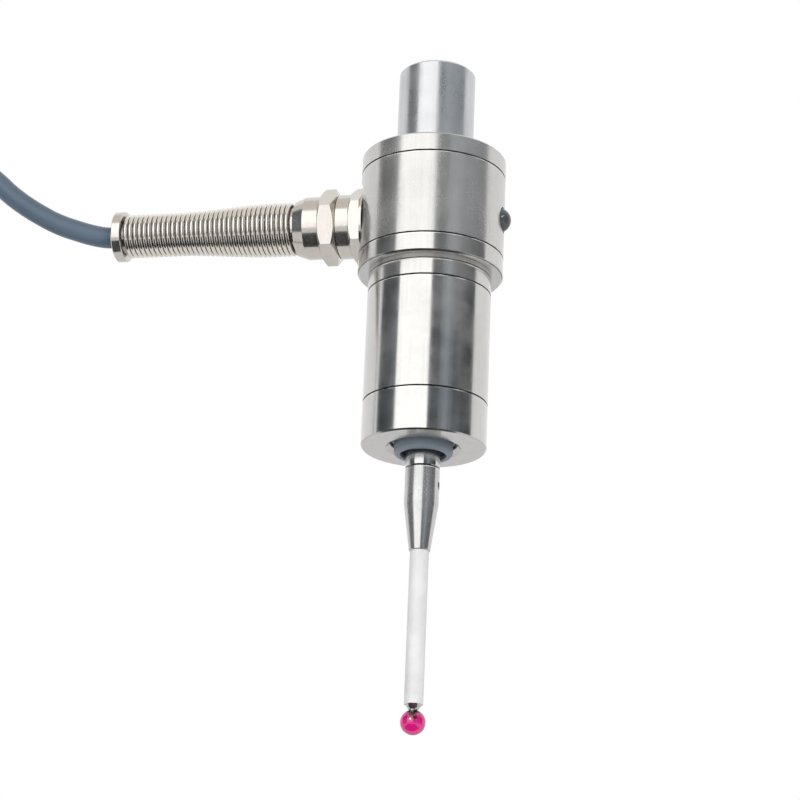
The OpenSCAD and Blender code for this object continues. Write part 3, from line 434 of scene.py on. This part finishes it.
def metal_finish(name, colour, roughness, rings=2600.0, ring_depth=0.8 * MICRON, grain_depth=0.0,
                 grit=0.02, gloss=1.0, haze=0.1, stretch=0.5, axis="Z", pits=0.0, seams=(), edges=(),
                 groove_shade=False):
    """Turned or ground metal with rings, streaks, satin grain, pits and wiped clouds.

    Less gloss and more haze make it duller. Seams are the heights of painted shade lines, each with a painted
    highlight on the lip below;
    edges are the heights of fainter painted dark lines; the last switch paints shade on the inner side of a
    spring's wire, between its turns.
    """
    material, tree, shader = new_material(name)
    marks = use_group(tree, turned_marks_group, rings_per_metre=rings)
    grain = use_group(tree, satin_grain_group, grains_per_metre=4200.0)
    streaks = use_group(tree, polish_streaks_group)
    handling = use_group(tree, handling_group)
    shine = span(tree, handling["Clouds"], 0.2, 1, gloss, gloss - haze)
    shader.inputs["Anisotropic"].default_value = stretch
    shader.inputs["Anisotropic Rotation"].default_value = 0.25
    tangent = put(tree, "ShaderNodeTangent", direction_type="RADIAL", axis=axis)
    tree.links.new(tangent.outputs[0], shader.inputs["Tangent"])
    dark = shade(colour, 0.25)
    tone = blend_colours(tree, marks["Mask"], shade(colour, 0.96), tuple(colour))
    tone = blend_colours(tree, calc(tree, "MULTIPLY", streaks["Mask"], 0.5), tone, shade(colour, 0.9))
    tone = blend_colours(tree, calc(tree, "MULTIPLY", handling["Pits"], pits), tone, dark)
    if groove_shade:
        # Painted shade on the inner side of a spring's wire, between its turns
        groove_shade_mask = put(tree, "ShaderNodeAttribute", attribute_name="groove").outputs["Fac"]
        tone = blend_colours(tree, span(tree, groove_shade_mask, 0.3, 0.58), tone, dark)
    # Painted shade line at each seam and a painted highlight on the lip below it, where the metal is made
    # less metallic; fainter painted dark lines at the edges
    for height in seams:
        painted_seam = use_group(tree, seam_grime_group, seam_height=height)
        tone = blend_colours(tree, painted_seam["Lip"], tone, LIP_HIGHLIGHT)
        tone = blend_colours(tree, painted_seam["Mask"], tone, shade(colour, 0.12))
        shine = calc(tree, "MULTIPLY", shine, span(tree, painted_seam["Lip"], 0, 1, 1, 0.45))
    for height in edges:
        painted_seam = use_group(tree, seam_grime_group, seam_height=height)
        tone = blend_colours(tree, painted_seam["Mask"], tone, shade(colour, 0.4))
    tree.links.new(tone, shader.inputs["Base Color"])
    tree.links.new(shine, shader.inputs["Metallic"])
    wiped = span(tree, handling["Clouds"], 0, 1, roughness * 0.8, roughness * 1.25)
    rough = calc(tree, "ADD", wiped, calc(tree, "MULTIPLY", grain["Sparkle"], grit))
    rough = calc(tree, "ADD", rough, span(tree, streaks["Mask"], 0, 1, -0.02, 0.03))
    tree.links.new(rough, shader.inputs["Roughness"])
    height = calc(tree, "ADD", calc(tree, "MULTIPLY", marks["Height"], ring_depth),
                  calc(tree, "MULTIPLY", grain["Height"], grain_depth))
    bump(tree, shader, height)
    return material


def plain_finish(name, colour, roughness, grains, depth, specular=0.5):
    """Rubber, plastic, lacquer or ceramic: a fine grain, slightly uneven tone and gloss."""
    material, tree, shader = new_material(name)
    grain = use_group(tree, satin_grain_group, grains_per_metre=grains)
    handling = use_group(tree, handling_group)
    tone = blend_colours(tree, handling["Clouds"], shade(colour, 0.9), shade(colour, 1.08))
    tree.links.new(tone, shader.inputs["Base Color"])
    tree.links.new(span(tree, handling["Clouds"], 0, 1, roughness * 0.85, roughness * 1.15),
                   shader.inputs["Roughness"])
    shader.inputs["Specular IOR Level"].default_value = specular
    bump(tree, shader, calc(tree, "MULTIPLY", grain["Height"], depth))
    return material


def ruby_finish(colour):
    """Clear polished ruby, tinted unevenly and wiped with a soft cloth."""
    material, tree, shader = new_material("Polished ruby")
    handling = use_group(tree, handling_group, clouds_per_metre=500.0)
    tone = blend_colours(tree, handling["Clouds"], shade(colour, 0.9), tuple(colour))
    tree.links.new(tone, shader.inputs["Base Color"])
    tree.links.new(span(tree, handling["Clouds"], 0, 1, 0.02, 0.05), shader.inputs["Roughness"])
    shader.inputs["IOR"].default_value = 1.77
    shader.inputs["Transmission Weight"].default_value = 1.0
    return material


def moulded_plastic():
    """Dark plastic of the plug and of the small pieces inside, made once."""
    name = "Moulded dark plastic"
    colour = settings("probe_soft").plastic_colour
    return bpy.data.materials.get(name) or plain_finish(
        name, colour, roughness=0.45, grains=5000.0, depth=6 * MICRON)


def machined_brass():
    """Brass of the plug's pins, the bush and the contacts, made once."""
    name = "Machined brass"
    colour = settings("probe_metal").brass_colour
    return bpy.data.materials.get(name) or metal_finish(
        name, colour, roughness=0.22, rings=9000.0, ring_depth=1.0 * MICRON, grain_depth=0.8 * MICRON,
        grit=0.06)


def finish(material, *nodes):
    """Gives CAD nodes one finish."""
    for name in nodes:
        slots = NODES[name].data.materials
        slots.clear()
        slots.append(material)


# Meshes

def mesh_object(name, points, faces):
    """A new smooth mesh piece."""
    mesh = bpy.data.meshes.new(name)
    mesh.from_pydata(points, [], faces)
    mesh.polygons.foreach_set("use_smooth", [True] * len(mesh.polygons))
    mesh.update()
    piece = bpy.data.objects.new(name, mesh)
    bpy.context.scene.collection.objects.link(piece)
    return piece


def level_sheet(name, left, right, near, far, height):
    """A level rectangle."""
    corners = [(left, near, height), (right, near, height), (right, far, height), (left, far, height)]
    return mesh_object(name, corners, [(0, 1, 2, 3)])


def ease(t):
    """Blend from 0 to 1 with flat ends."""
    t = min(max(t, 0.0), 1.0)
    return t * t * (3 - 2 * t)


def wound_spring(name, start, end, wide, narrow, wire, turns, taper=(0, 1), steps=40, sides=12):
    """Spring of round wire from start to end, whose mean radius changes within the taper's shares.

    Its point attribute groove is 0 at the outside of the wire and 1 at its inside; it carries the painted
    shade between the turns.
    """
    axis = (end - start).normalized()
    side = Vector((0, 1, 0))
    up = side.cross(axis)
    length = (end - start).length - wire
    count = int(turns * steps) + 1
    points, faces, groove_shade = [], [], []
    for i in range(count):
        share = i / (count - 1)
        angle = 2 * math.pi * i / steps
        radius = wide + (narrow - wide) * ease((share - taper[0]) / (taper[1] - taper[0]))
        middle = start + axis * (wire / 2 + length * share)
        out = side * math.sin(angle) + up * math.cos(angle)
        for j in range(sides):
            turn = 2 * math.pi * j / sides
            outward, forward = wire / 2 * math.cos(turn), wire / 2 * math.sin(turn)
            points.append(middle + out * (radius + outward) + axis * forward)
            groove_shade.append(0.5 - 0.5 * math.cos(turn))
    for i in range(count - 1):
        for j in range(sides):
            k = (j + 1) % sides
            faces.append((i * sides + j, (i + 1) * sides + j, (i + 1) * sides + k, i * sides + k))
    faces.append(tuple(range(sides)))
    faces.append(tuple((count - 1) * sides + j for j in reversed(range(sides))))
    spring = mesh_object(name, points, faces)
    spring.data.attributes.new("groove", "FLOAT", "POINT").data.foreach_set("value", groove_shade)
    return spring


class PROBE_OT_camera(bpy.types.Operator):
    """Places the camera at the photograph's view, low and looking up"""

    bl_idname = "probe.camera"
    bl_label = "Camera"

    def execute(self, context):
        stage = settings("probe_stage")
        data = bpy.data.cameras.new("camera")
        data.lens = stage.camera_lens
        data.sensor_width = 36
        data.clip_start = 0.01
        data.clip_end = 100
        camera = bpy.data.objects.new("camera", data)
        context.scene.collection.objects.link(camera)
        place = Vector(stage.camera_place)
        look = (Vector(stage.camera_aim) - place).normalized()
        turn = look.to_track_quat("-Z", "Y").to_matrix().to_4x4()
        camera.matrix_world = Matrix.Translation(place) @ turn @ Matrix.Rotation(stage.camera_roll, 4, "Z")
        context.scene.camera = camera
        return {"FINISHED"}


class PROBE_OT_cable(bpy.types.Operator):
    """Lays the cable along its route, winds the stored length into a tied coil and ends it in its plug"""

    bl_idname = "probe.cable"
    bl_label = "Cable"

    def execute(self, context):
        soft = settings("probe_soft")
        points = [Vector(p) * MM for p in CABLE_ROUTE[:-1]]
        points += stored_turns(soft)
        points += [Vector(p) * MM for p in TAIL_ROUTE]
        curve = bpy.data.curves.new("cable_run", "CURVE")
        curve.dimensions = "3D"
        curve.bevel_depth = soft.cable_diameter / 2
        curve.bevel_resolution = 6
        curve.resolution_u = 5
        line = curve.splines.new("BEZIER")
        line.bezier_points.add(len(points) - 1)
        for knot, point in zip(line.bezier_points, points):
            knot.co = point
            knot.handle_left_type = "AUTO"
            knot.handle_right_type = "AUTO"
        cable = bpy.data.objects.new("cable_run", curve)
        context.scene.collection.objects.link(cable)
        sheath = plain_finish("Cable sheath", soft.cable_colour, roughness=0.33, grains=6000.0,
                              depth=3 * MICRON, specular=0.4)
        curve.materials.append(sheath)
        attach(cable, "housing")
        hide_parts("cable", "cable_coil")
        finish(sheath, "cable_lead")
        return {"FINISHED"}


def stored_turns(soft):
    """Points of the stored turns, row by row and layer by layer, from the outside left down and round."""
    gap = soft.cable_diameter
    order = list(range(COIL_LAYERS))
    slots = []
    for row in range(COIL_ROWS):
        y = gap * ((COIL_ROWS - 1) / 2 - row)
        layers = order[::-1] if row % 2 == 0 else order
        slots += [(soft.coil_radius + gap * (layer - (COIL_LAYERS - 1) / 2), y) for layer in layers]
    slots.append(slots[-1])
    points = []
    for turn in range(len(slots) - 1):
        for step in range(soft.coil_points):
            share = step / soft.coil_points
            move = ease((share - 1 + COIL_CROSSING) / COIL_CROSSING)
            radius = slots[turn][0] + (slots[turn + 1][0] - slots[turn][0]) * move
            y = slots[turn][1] + (slots[turn + 1][1] - slots[turn][1]) * move
            angle = math.pi + 2 * math.pi * share
            points.append(COIL_CENTRE + Vector((radius * math.cos(angle), y, radius * math.sin(angle))))
    radius, y = slots[-1]
    points.append(COIL_CENTRE + Vector((-radius, y, 0)))
    return points


class PROBE_OT_housing(bpy.types.Operator):
    """Finishes the shank and the turned housing"""

    bl_idname = "probe.housing"
    bl_label = "Housing"

    def execute(self, context):
        metal = settings("probe_metal")
        under_cover, over_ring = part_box("upper_body")[1].z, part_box("upper_body")[0].z
        over_barrel, over_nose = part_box("barrel")[1].z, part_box("barrel")[0].z
        # The seams and edges given below get painted shade lines, a painted dark reflection at the flange
        # edge, and painted highlights on the lips below the seams
        body = metal_finish("Satin housing steel", metal.housing_colour, metal.housing_roughness,
                            ring_depth=1.2 * MICRON, gloss=0.80, pits=1.0, seams=(under_cover, over_ring))
        ring = metal_finish("Bright flange steel", metal.housing_colour, metal.barrel_roughness, gloss=0.92,
                            seams=(over_ring, COLLAR_ROOT, over_barrel), edges=(FLANGE_EDGE,))
        fine = metal_finish("Fine barrel steel", metal.housing_colour, metal.barrel_roughness, grit=0.04,
                            gloss=0.97, haze=0.2, pits=1.0, seams=(over_barrel, over_nose))
        nose = metal_finish("Fine nose steel", metal.housing_colour, metal.barrel_roughness, grit=0.03,
                            haze=0.12, seams=(over_nose,))
        ground = metal_finish("Ground shank steel", metal.shank_colour, metal.shank_roughness,
                              ring_depth=0.5 * MICRON, gloss=0.84)
        finish(body, "top_cover", "upper_body")
        finish(ring, "base_ring")
        finish(fine, "barrel")
        finish(nose, "nose_cap")
        finish(ground, "shank")
        return {"FINISHED"}


class PROBE_OT_seals(bpy.types.Operator):
    """Finishes the boot in the nose and the seals"""

    bl_idname = "probe.seals"
    bl_label = "Boot and Seals"

    def execute(self, context):
        soft = settings("probe_soft")
        grey = plain_finish("Grey boot rubber", soft.boot_colour, roughness=0.36, grains=7000.0,
                            depth=5 * MICRON, specular=0.45)
        black = plain_finish("Black seal rubber", soft.seal_colour, roughness=0.55, grains=7000.0,
                             depth=5 * MICRON, specular=0.4)
        finish(grey, "boot")
        finish(black, "cover_oring", "body_oring", "barrel_oring", "nose_oring", "gland_seal", "led_grommet",
               "plug_boot")
        return {"FINISHED"}


class PROBE_OT_stylus(bpy.types.Operator):
    """Finishes the stylus: its carrier, holder, ceramic stem and ruby ball"""

    bl_idname = "probe.stylus"
    bl_label = "Stylus"

    def execute(self, context):
        metal, soft = settings("probe_metal"), settings("probe_soft")
        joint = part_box("stylus_carrier")[0].z
        # The joint's seam gets a painted shade line and a painted highlight on the lip below it
        polished = metal_finish("Polished stylus steel", metal.stylus_colour, roughness=0.10, rings=9000.0,
                                ring_depth=0.4 * MICRON, grain_depth=0.4 * MICRON, seams=(joint,))
        satin = metal_finish("Satin holder steel", metal.stylus_colour, roughness=0.22, rings=5000.0,
                             ring_depth=0.6 * MICRON, grain_depth=0.6 * MICRON, grit=0.05, gloss=0.86,
                             seams=(joint,))
        ceramic = plain_finish("White ceramic", soft.ceramic_colour, roughness=0.38, grains=9000.0,
                               depth=2 * MICRON)
        finish(polished, "stylus_carrier", "ball_pin")
        finish(satin, "stylus_holder")
        finish(ceramic, "stem")
        finish(ruby_finish(soft.ruby_colour), "ruby_ball")
        return {"FINISHED"}


class PROBE_OT_gland(bpy.types.Operator):
    """Finishes the cable gland and winds its bend relief spring"""

    bl_idname = "probe.gland"
    bl_label = "Gland and Spring"

    def execute(self, context):
        metal = settings("probe_metal")
        # The spring's finish paints shade on the inner side of its wire, between the turns
        nickel = metal_finish("Bright nickel", shade(metal.nickel_colour, 1.08), metal.spring_roughness,
                              rings=5000.0, ring_depth=0.3 * MICRON, grain_depth=0.6 * MICRON,
                              stretch=0.0, axis="X", groove_shade=True)
        dull = metal_finish("Dull nickel", shade(metal.nickel_colour, 0.88), metal.gland_roughness,
                            rings=5000.0, ring_depth=0.4 * MICRON, grain_depth=0.8 * MICRON, grit=0.04,
                            gloss=0.97, haze=0.12, stretch=0.0, axis="X")
        finish(dull, "gland_ring", "gland_body", "gland_nut", "relief_cap")
        spring = relief_spring(settings("probe_springs"))
        spring.data.materials.append(nickel)
        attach(spring, "housing")
        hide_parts("relief_spring")
        return {"FINISHED"}


def relief_spring(springs):
    """Tapered close-wound spring around the cable, along the gland's axis."""
    low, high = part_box("relief_spring")
    gland_low, gland_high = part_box("gland_body")
    height = (gland_low.z + gland_high.z) / 2
    wire = springs.relief_wire
    wide, narrow = (springs.relief_foot - wire) / 2, (springs.relief_tip - wire) / 2
    return wound_spring("relief_spring_wound", Vector((high.x, 0, height)), Vector((low.x, 0, height)),
                        wide, narrow, wire, springs.relief_turns, RELIEF_TAPER)


class PROBE_OT_lamp(bpy.types.Operator):
    """Finishes the status lamp"""

    bl_idname = "probe.lamp"
    bl_label = "Status Lamp"

    def execute(self, context):
        soft = settings("probe_soft")
        resin = plain_finish("Smoked lamp resin", soft.lamp_colour, roughness=0.10, grains=5000.0,
                             depth=1 * MICRON, specular=0.6)
        finish(resin, "led")
        return {"FINISHED"}


class PROBE_OT_plug(bpy.types.Operator):
    """Finishes the plug at the cable's far end and the coil's strap"""

    bl_idname = "probe.plug"
    bl_label = "Plug"

    def execute(self, context):
        metal = settings("probe_metal")
        plate = metal_finish("Plug nickel", metal.nickel_colour, roughness=0.2, rings=5000.0,
                             ring_depth=1.0 * MICRON, grain_depth=1.0 * MICRON, grit=0.08, stretch=0.3)
        finish(plate, "plug_grip", "plug_skirt")
        finish(moulded_plastic(), "plug_insert", "cable_tie")
        finish(machined_brass(), "plug_pins")
        return {"FINISHED"}


class PROBE_OT_inside(bpy.types.Operator):
    """Finishes the pieces inside the housing"""

    bl_idname = "probe.inside"
    bl_label = "Inside"

    def execute(self, context):
        metal, soft = settings("probe_metal"), settings("probe_soft")
        machined = metal_finish("Machined inner steel", metal.inner_colour, roughness=0.3, rings=8000.0,
                                ring_depth=1.0 * MICRON, grain_depth=1.0 * MICRON, grit=0.08)
        board = plain_finish("Green board lacquer", soft.board_colour, roughness=0.3, grains=4000.0,
                             depth=4 * MICRON)
        finish(machined, "shank_nut", "seat_ring", "seat_cap", "seat_nut", "guide_pins", "plunger",
               "board_screws", "led_legs")
        finish(board, "circuit_board")
        finish(moulded_plastic(), "contact_plate", "spring_plate", "signal_wires", "board_parts",
               "lead_cores")
        finish(machined_brass(), "ball_bush", "contact_strips", "contact_disc")
        springs = settings("probe_springs")
        main = pressed_spring(springs, "main_spring", springs.head_room)
        plunger = pressed_spring(springs, "plunger_spring", 0)
        main.data.materials.append(machined)
        plunger.data.materials.append(machined)
        return {"FINISHED"}


def pressed_spring(springs, node, room):
    """Upright spring that a joint's lift presses towards its upper end, with room left below it."""
    low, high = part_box(node)
    wire = springs.inner_wire
    radius = (high.y - low.y - wire) / 2
    foot, head = Vector((0, 0, low.z + room)), Vector((0, 0, high.z))
    spring = wound_spring(node + "_wound", foot, head, radius, radius, wire, springs.inner_turns)
    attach(spring, "housing")
    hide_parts(node)
    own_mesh(spring)
    return spring


class PROBE_OT_stage(bpy.types.Operator):
    """Sets the pale floor, the lamps, the cards that darken reflections and the white surroundings"""

    bl_idname = "probe.stage"
    bl_label = "Stage"

    def execute(self, context):
        stage = settings("probe_stage")
        context.scene.view_settings.view_transform = "Standard"
        front = math.atan2(stage.camera_place[0], -stage.camera_place[1])
        floor(stage)
        softbox(front, stage)
        sparks(front, stage)
        fill(front, stage)
        for index, (first, last, *levels) in enumerate(CARDS):
            for part, level in enumerate(levels):
                name, heights = "card_%d_%d" % (index, part), CARD_HEIGHTS[part:part + 2]
                card(name, front, first, last, heights, stage.card_glow * level, CARD_TINTS[part])
        card_below(stage)
        card_above(stage)
        surroundings(context, stage)
        return {"FINISHED"}


def floor(stage):
    """Pale floor below the probe, which keeps the shadow and fades to white far away for the camera."""
    drop = CAD_BOX[0].z - stage.floor_drop
    half, fade_start, fade_end = 60.0, 0.5, 3.0
    sheet = level_sheet("floor", left=-half, right=half, near=-half, far=half, height=drop)
    material, tree, shader = new_material("Pale floor")
    shader.inputs["Base Color"].default_value = (0.86, 0.86, 0.86, 1)
    shader.inputs["Roughness"].default_value = 0.7
    path = put(tree, "ShaderNodeLightPath")
    camera = path.outputs["Is Camera Ray"]
    mirrored = calc(tree, "MAXIMUM", path.outputs["Is Glossy Ray"], path.outputs["Is Transmission Ray"])
    place = put(tree, "ShaderNodeTexCoord").outputs["Object"]
    away = put(tree, "ShaderNodeVectorMath", {0: place}, operation="LENGTH").outputs["Value"]
    far = calc(tree, "MULTIPLY", camera, span(tree, away, fade_start, fade_end))
    bright = span(tree, far, 0, 1, stage.floor_glow, 1.0)
    seen = calc(tree, "MAXIMUM", mirrored, calc(tree, "MULTIPLY", camera, bright))
    white = put(tree, "ShaderNodeEmission", {"Color": (1, 1, 1, 1), "Strength": bright})
    both = put(tree, "ShaderNodeMixShader", {0: seen, 1: shader.outputs[0], 2: white.outputs[0]})
    tree.links.new(both.outputs[0], tree.nodes["Material Output"].inputs[0])
    sheet.data.materials.append(material)


def around(front, angle, reach, height):
    """A point of the studio, by its angle to the right of the camera, its distance and its height."""
    turn = front + math.radians(angle)
    return Vector((reach * math.sin(turn), -reach * math.cos(turn), height))


def softbox(front, stage):
    """Large softbox at the front left, above the camera."""
    reach, height, width, tall = 0.75, 0.24, 0.86, 0.95
    place = around(front, -26.5, reach, height)
    lamp("softbox", place, Vector((0, 0, height)), width, tall, stage.softbox_glow * math.pi * width * tall)


def sparks(front, stage):
    """Small lamps that put a highlight on the ball and on the status lamp only."""
    for name, node, angle, height, width, tall in SPARKS:
        place = around(front, angle, SPARK_REACH, height)
        power = stage.spark_glow * math.pi * width * tall
        spark = lamp(name, place, Vector((0, 0, -0.1)), width, tall, power)
        lit = bpy.data.collections.new(name + " lights")
        lit.objects.link(NODES[node])
        spark.light_linking.receiver_collection = lit


def fill(front, stage):
    """Soft lamps at the right of the camera, at the left and behind the probe, which mirrors don't show."""
    small, large = 0.3, 0.6
    right, left, back = around(front, 24, 0.7, 0.05), around(front, -88, 0.7, 0), around(front, 180, 0.9, 0.3)
    lamps = [
        lamp("fill", right, Vector((0, 0, -0.05)), small, small, stage.fill_light),
        lamp("side_fill", left, Vector((0, 0, -0.1)), small, small, stage.side_light),
        lamp("back_fill", back, Vector((-0.06, 0, -0.05)), large, large, stage.back_light),
    ]
    for piece in lamps:
        piece.visible_glossy = False
    lamps[-1].visible_transmission = False


def lamp(name, place, aim, width, tall, power):
    """A rectangular lamp that stands at a place and faces a point."""
    data = bpy.data.lights.new(name, "AREA")
    data.shape = "RECTANGLE"
    data.size = width
    data.size_y = tall
    data.energy = power
    piece = bpy.data.objects.new(name, data)
    bpy.context.scene.collection.objects.link(piece)
    turn = (aim - place).to_track_quat("-Z", "Z").to_matrix().to_4x4()
    piece.matrix_world = Matrix.Translation(place) @ turn
    return piece


def card(name, front, first, last, heights, glow, tint):
    """Curved grey card that the camera doesn't see, to darken a stretch of the reflections."""
    points, faces = [], []
    for i in range(CARD_STEPS + 1):
        angle = first + (last - first) * i / CARD_STEPS
        points += [around(front, angle, CARD_REACH, height) for height in heights]
    for i in range(CARD_STEPS):
        faces.append((2 * i, 2 * i + 2, 2 * i + 3, 2 * i + 1))
    hang_card(mesh_object(name, points, faces), glow, tint)


def card_below(stage):
    """Dark card under the probe and its front, which darkens the undersides of edges and turns."""
    low = CAD_BOX[0].z - stage.floor_drop + 0.01
    sheet = level_sheet("card_below", left=-0.28, right=0.20, near=-0.36, far=0.015, height=low)
    hang_card(sheet, stage.card_glow * BELOW_LEVEL, CARD_TINTS[0])


def card_above(stage):
    """Pale card high over the probe, which shades the upper sides of the cable and the turns."""
    sheet = level_sheet("card_above", left=-0.5, right=0.2, near=-0.45, far=0.1, height=0.5)
    hang_card(sheet, stage.card_glow * ABOVE_LEVEL, CARD_TINTS[1])


def hang_card(sheet, glow, tint):
    """Makes a mesh a card that only mirrors show."""
    material = bpy.data.materials.new(sheet.name)
    material.use_nodes = True
    tree = material.node_tree
    tree.nodes.clear()
    shine = put(tree, "ShaderNodeEmission", {"Color": (*tint, 1), "Strength": glow})
    out = put(tree, "ShaderNodeOutputMaterial")
    tree.links.new(shine.outputs[0], out.inputs[0])
    sheet.data.materials.append(material)
    sheet.visible_camera = False
    sheet.visible_diffuse = False
    sheet.visible_shadow = False


def surroundings(context, stage):
    """White surroundings, at full white for the camera, for mirrors and for glass."""
    world = bpy.data.worlds.new("white surroundings")
    world.use_nodes = True
    context.scene.world = world
    tree = world.node_tree
    tree.nodes.clear()
    path = put(tree, "ShaderNodeLightPath")
    seen = calc(tree, "MAXIMUM", path.outputs["Is Camera Ray"],
                calc(tree, "MAXIMUM", path.outputs["Is Glossy Ray"], path.outputs["Is Transmission Ray"]))
    level = span(tree, seen, 0, 1, stage.room_light, 1.0)
    background = put(tree, "ShaderNodeBackground", {"Color": (1, 1, 1, 1), "Strength": level})
    out = put(tree, "ShaderNodeOutputWorld")
    tree.links.new(background.outputs[0], out.inputs[0])


class PROBE_PT_panel(bpy.types.Panel):
    """Lists the probe's pieces in the sidebar"""

    bl_idname = "PROBE_PT_panel"
    bl_label = "Touch Probe"
    bl_space_type = "VIEW_3D"
    bl_region_type = "UI"
    bl_category = "Probe"

    def draw(self, context):
        for operator in OPERATORS:
            self.layout.operator(operator.bl_idname)
        for name in SETTINGS:
            group = getattr(context.scene, name)
            for prop in group.__annotations__:
                self.layout.prop(group, prop)


SETTINGS = {
    "probe_stage": ProbeStageSettings, "probe_metal": ProbeMetalSettings,
    "probe_soft": ProbeSoftSettings, "probe_springs": ProbeSpringSettings,
}
OPERATORS = (
    PROBE_OT_camera, PROBE_OT_cable, PROBE_OT_housing, PROBE_OT_seals, PROBE_OT_stylus, PROBE_OT_gland,
    PROBE_OT_lamp, PROBE_OT_plug, PROBE_OT_inside, PROBE_OT_stage,
)


def register():
    """Registers the settings, the operators and the panel."""
    for group in SETTINGS.values():
        bpy.utils.register_class(group)
    for name, group in SETTINGS.items():
        setattr(bpy.types.Scene, name, PointerProperty(type=group))
    for kind in (*OPERATORS, PROBE_PT_panel):
        bpy.utils.register_class(kind)


def unregister():
    """Takes away what register added."""
    for kind in (PROBE_PT_panel, *reversed(OPERATORS)):
        bpy.utils.unregister_class(kind)
    for name, group in SETTINGS.items():
        delattr(bpy.types.Scene, name)
        bpy.utils.unregister_class(group)


def main():
    """Builds the whole scene piece by piece."""
    register()
    for operator in OPERATORS:
        family, call = operator.bl_idname.split(".")
        getattr(getattr(bpy.ops, family), call)()
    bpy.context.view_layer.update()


if __name__ == "__main__":
    main()
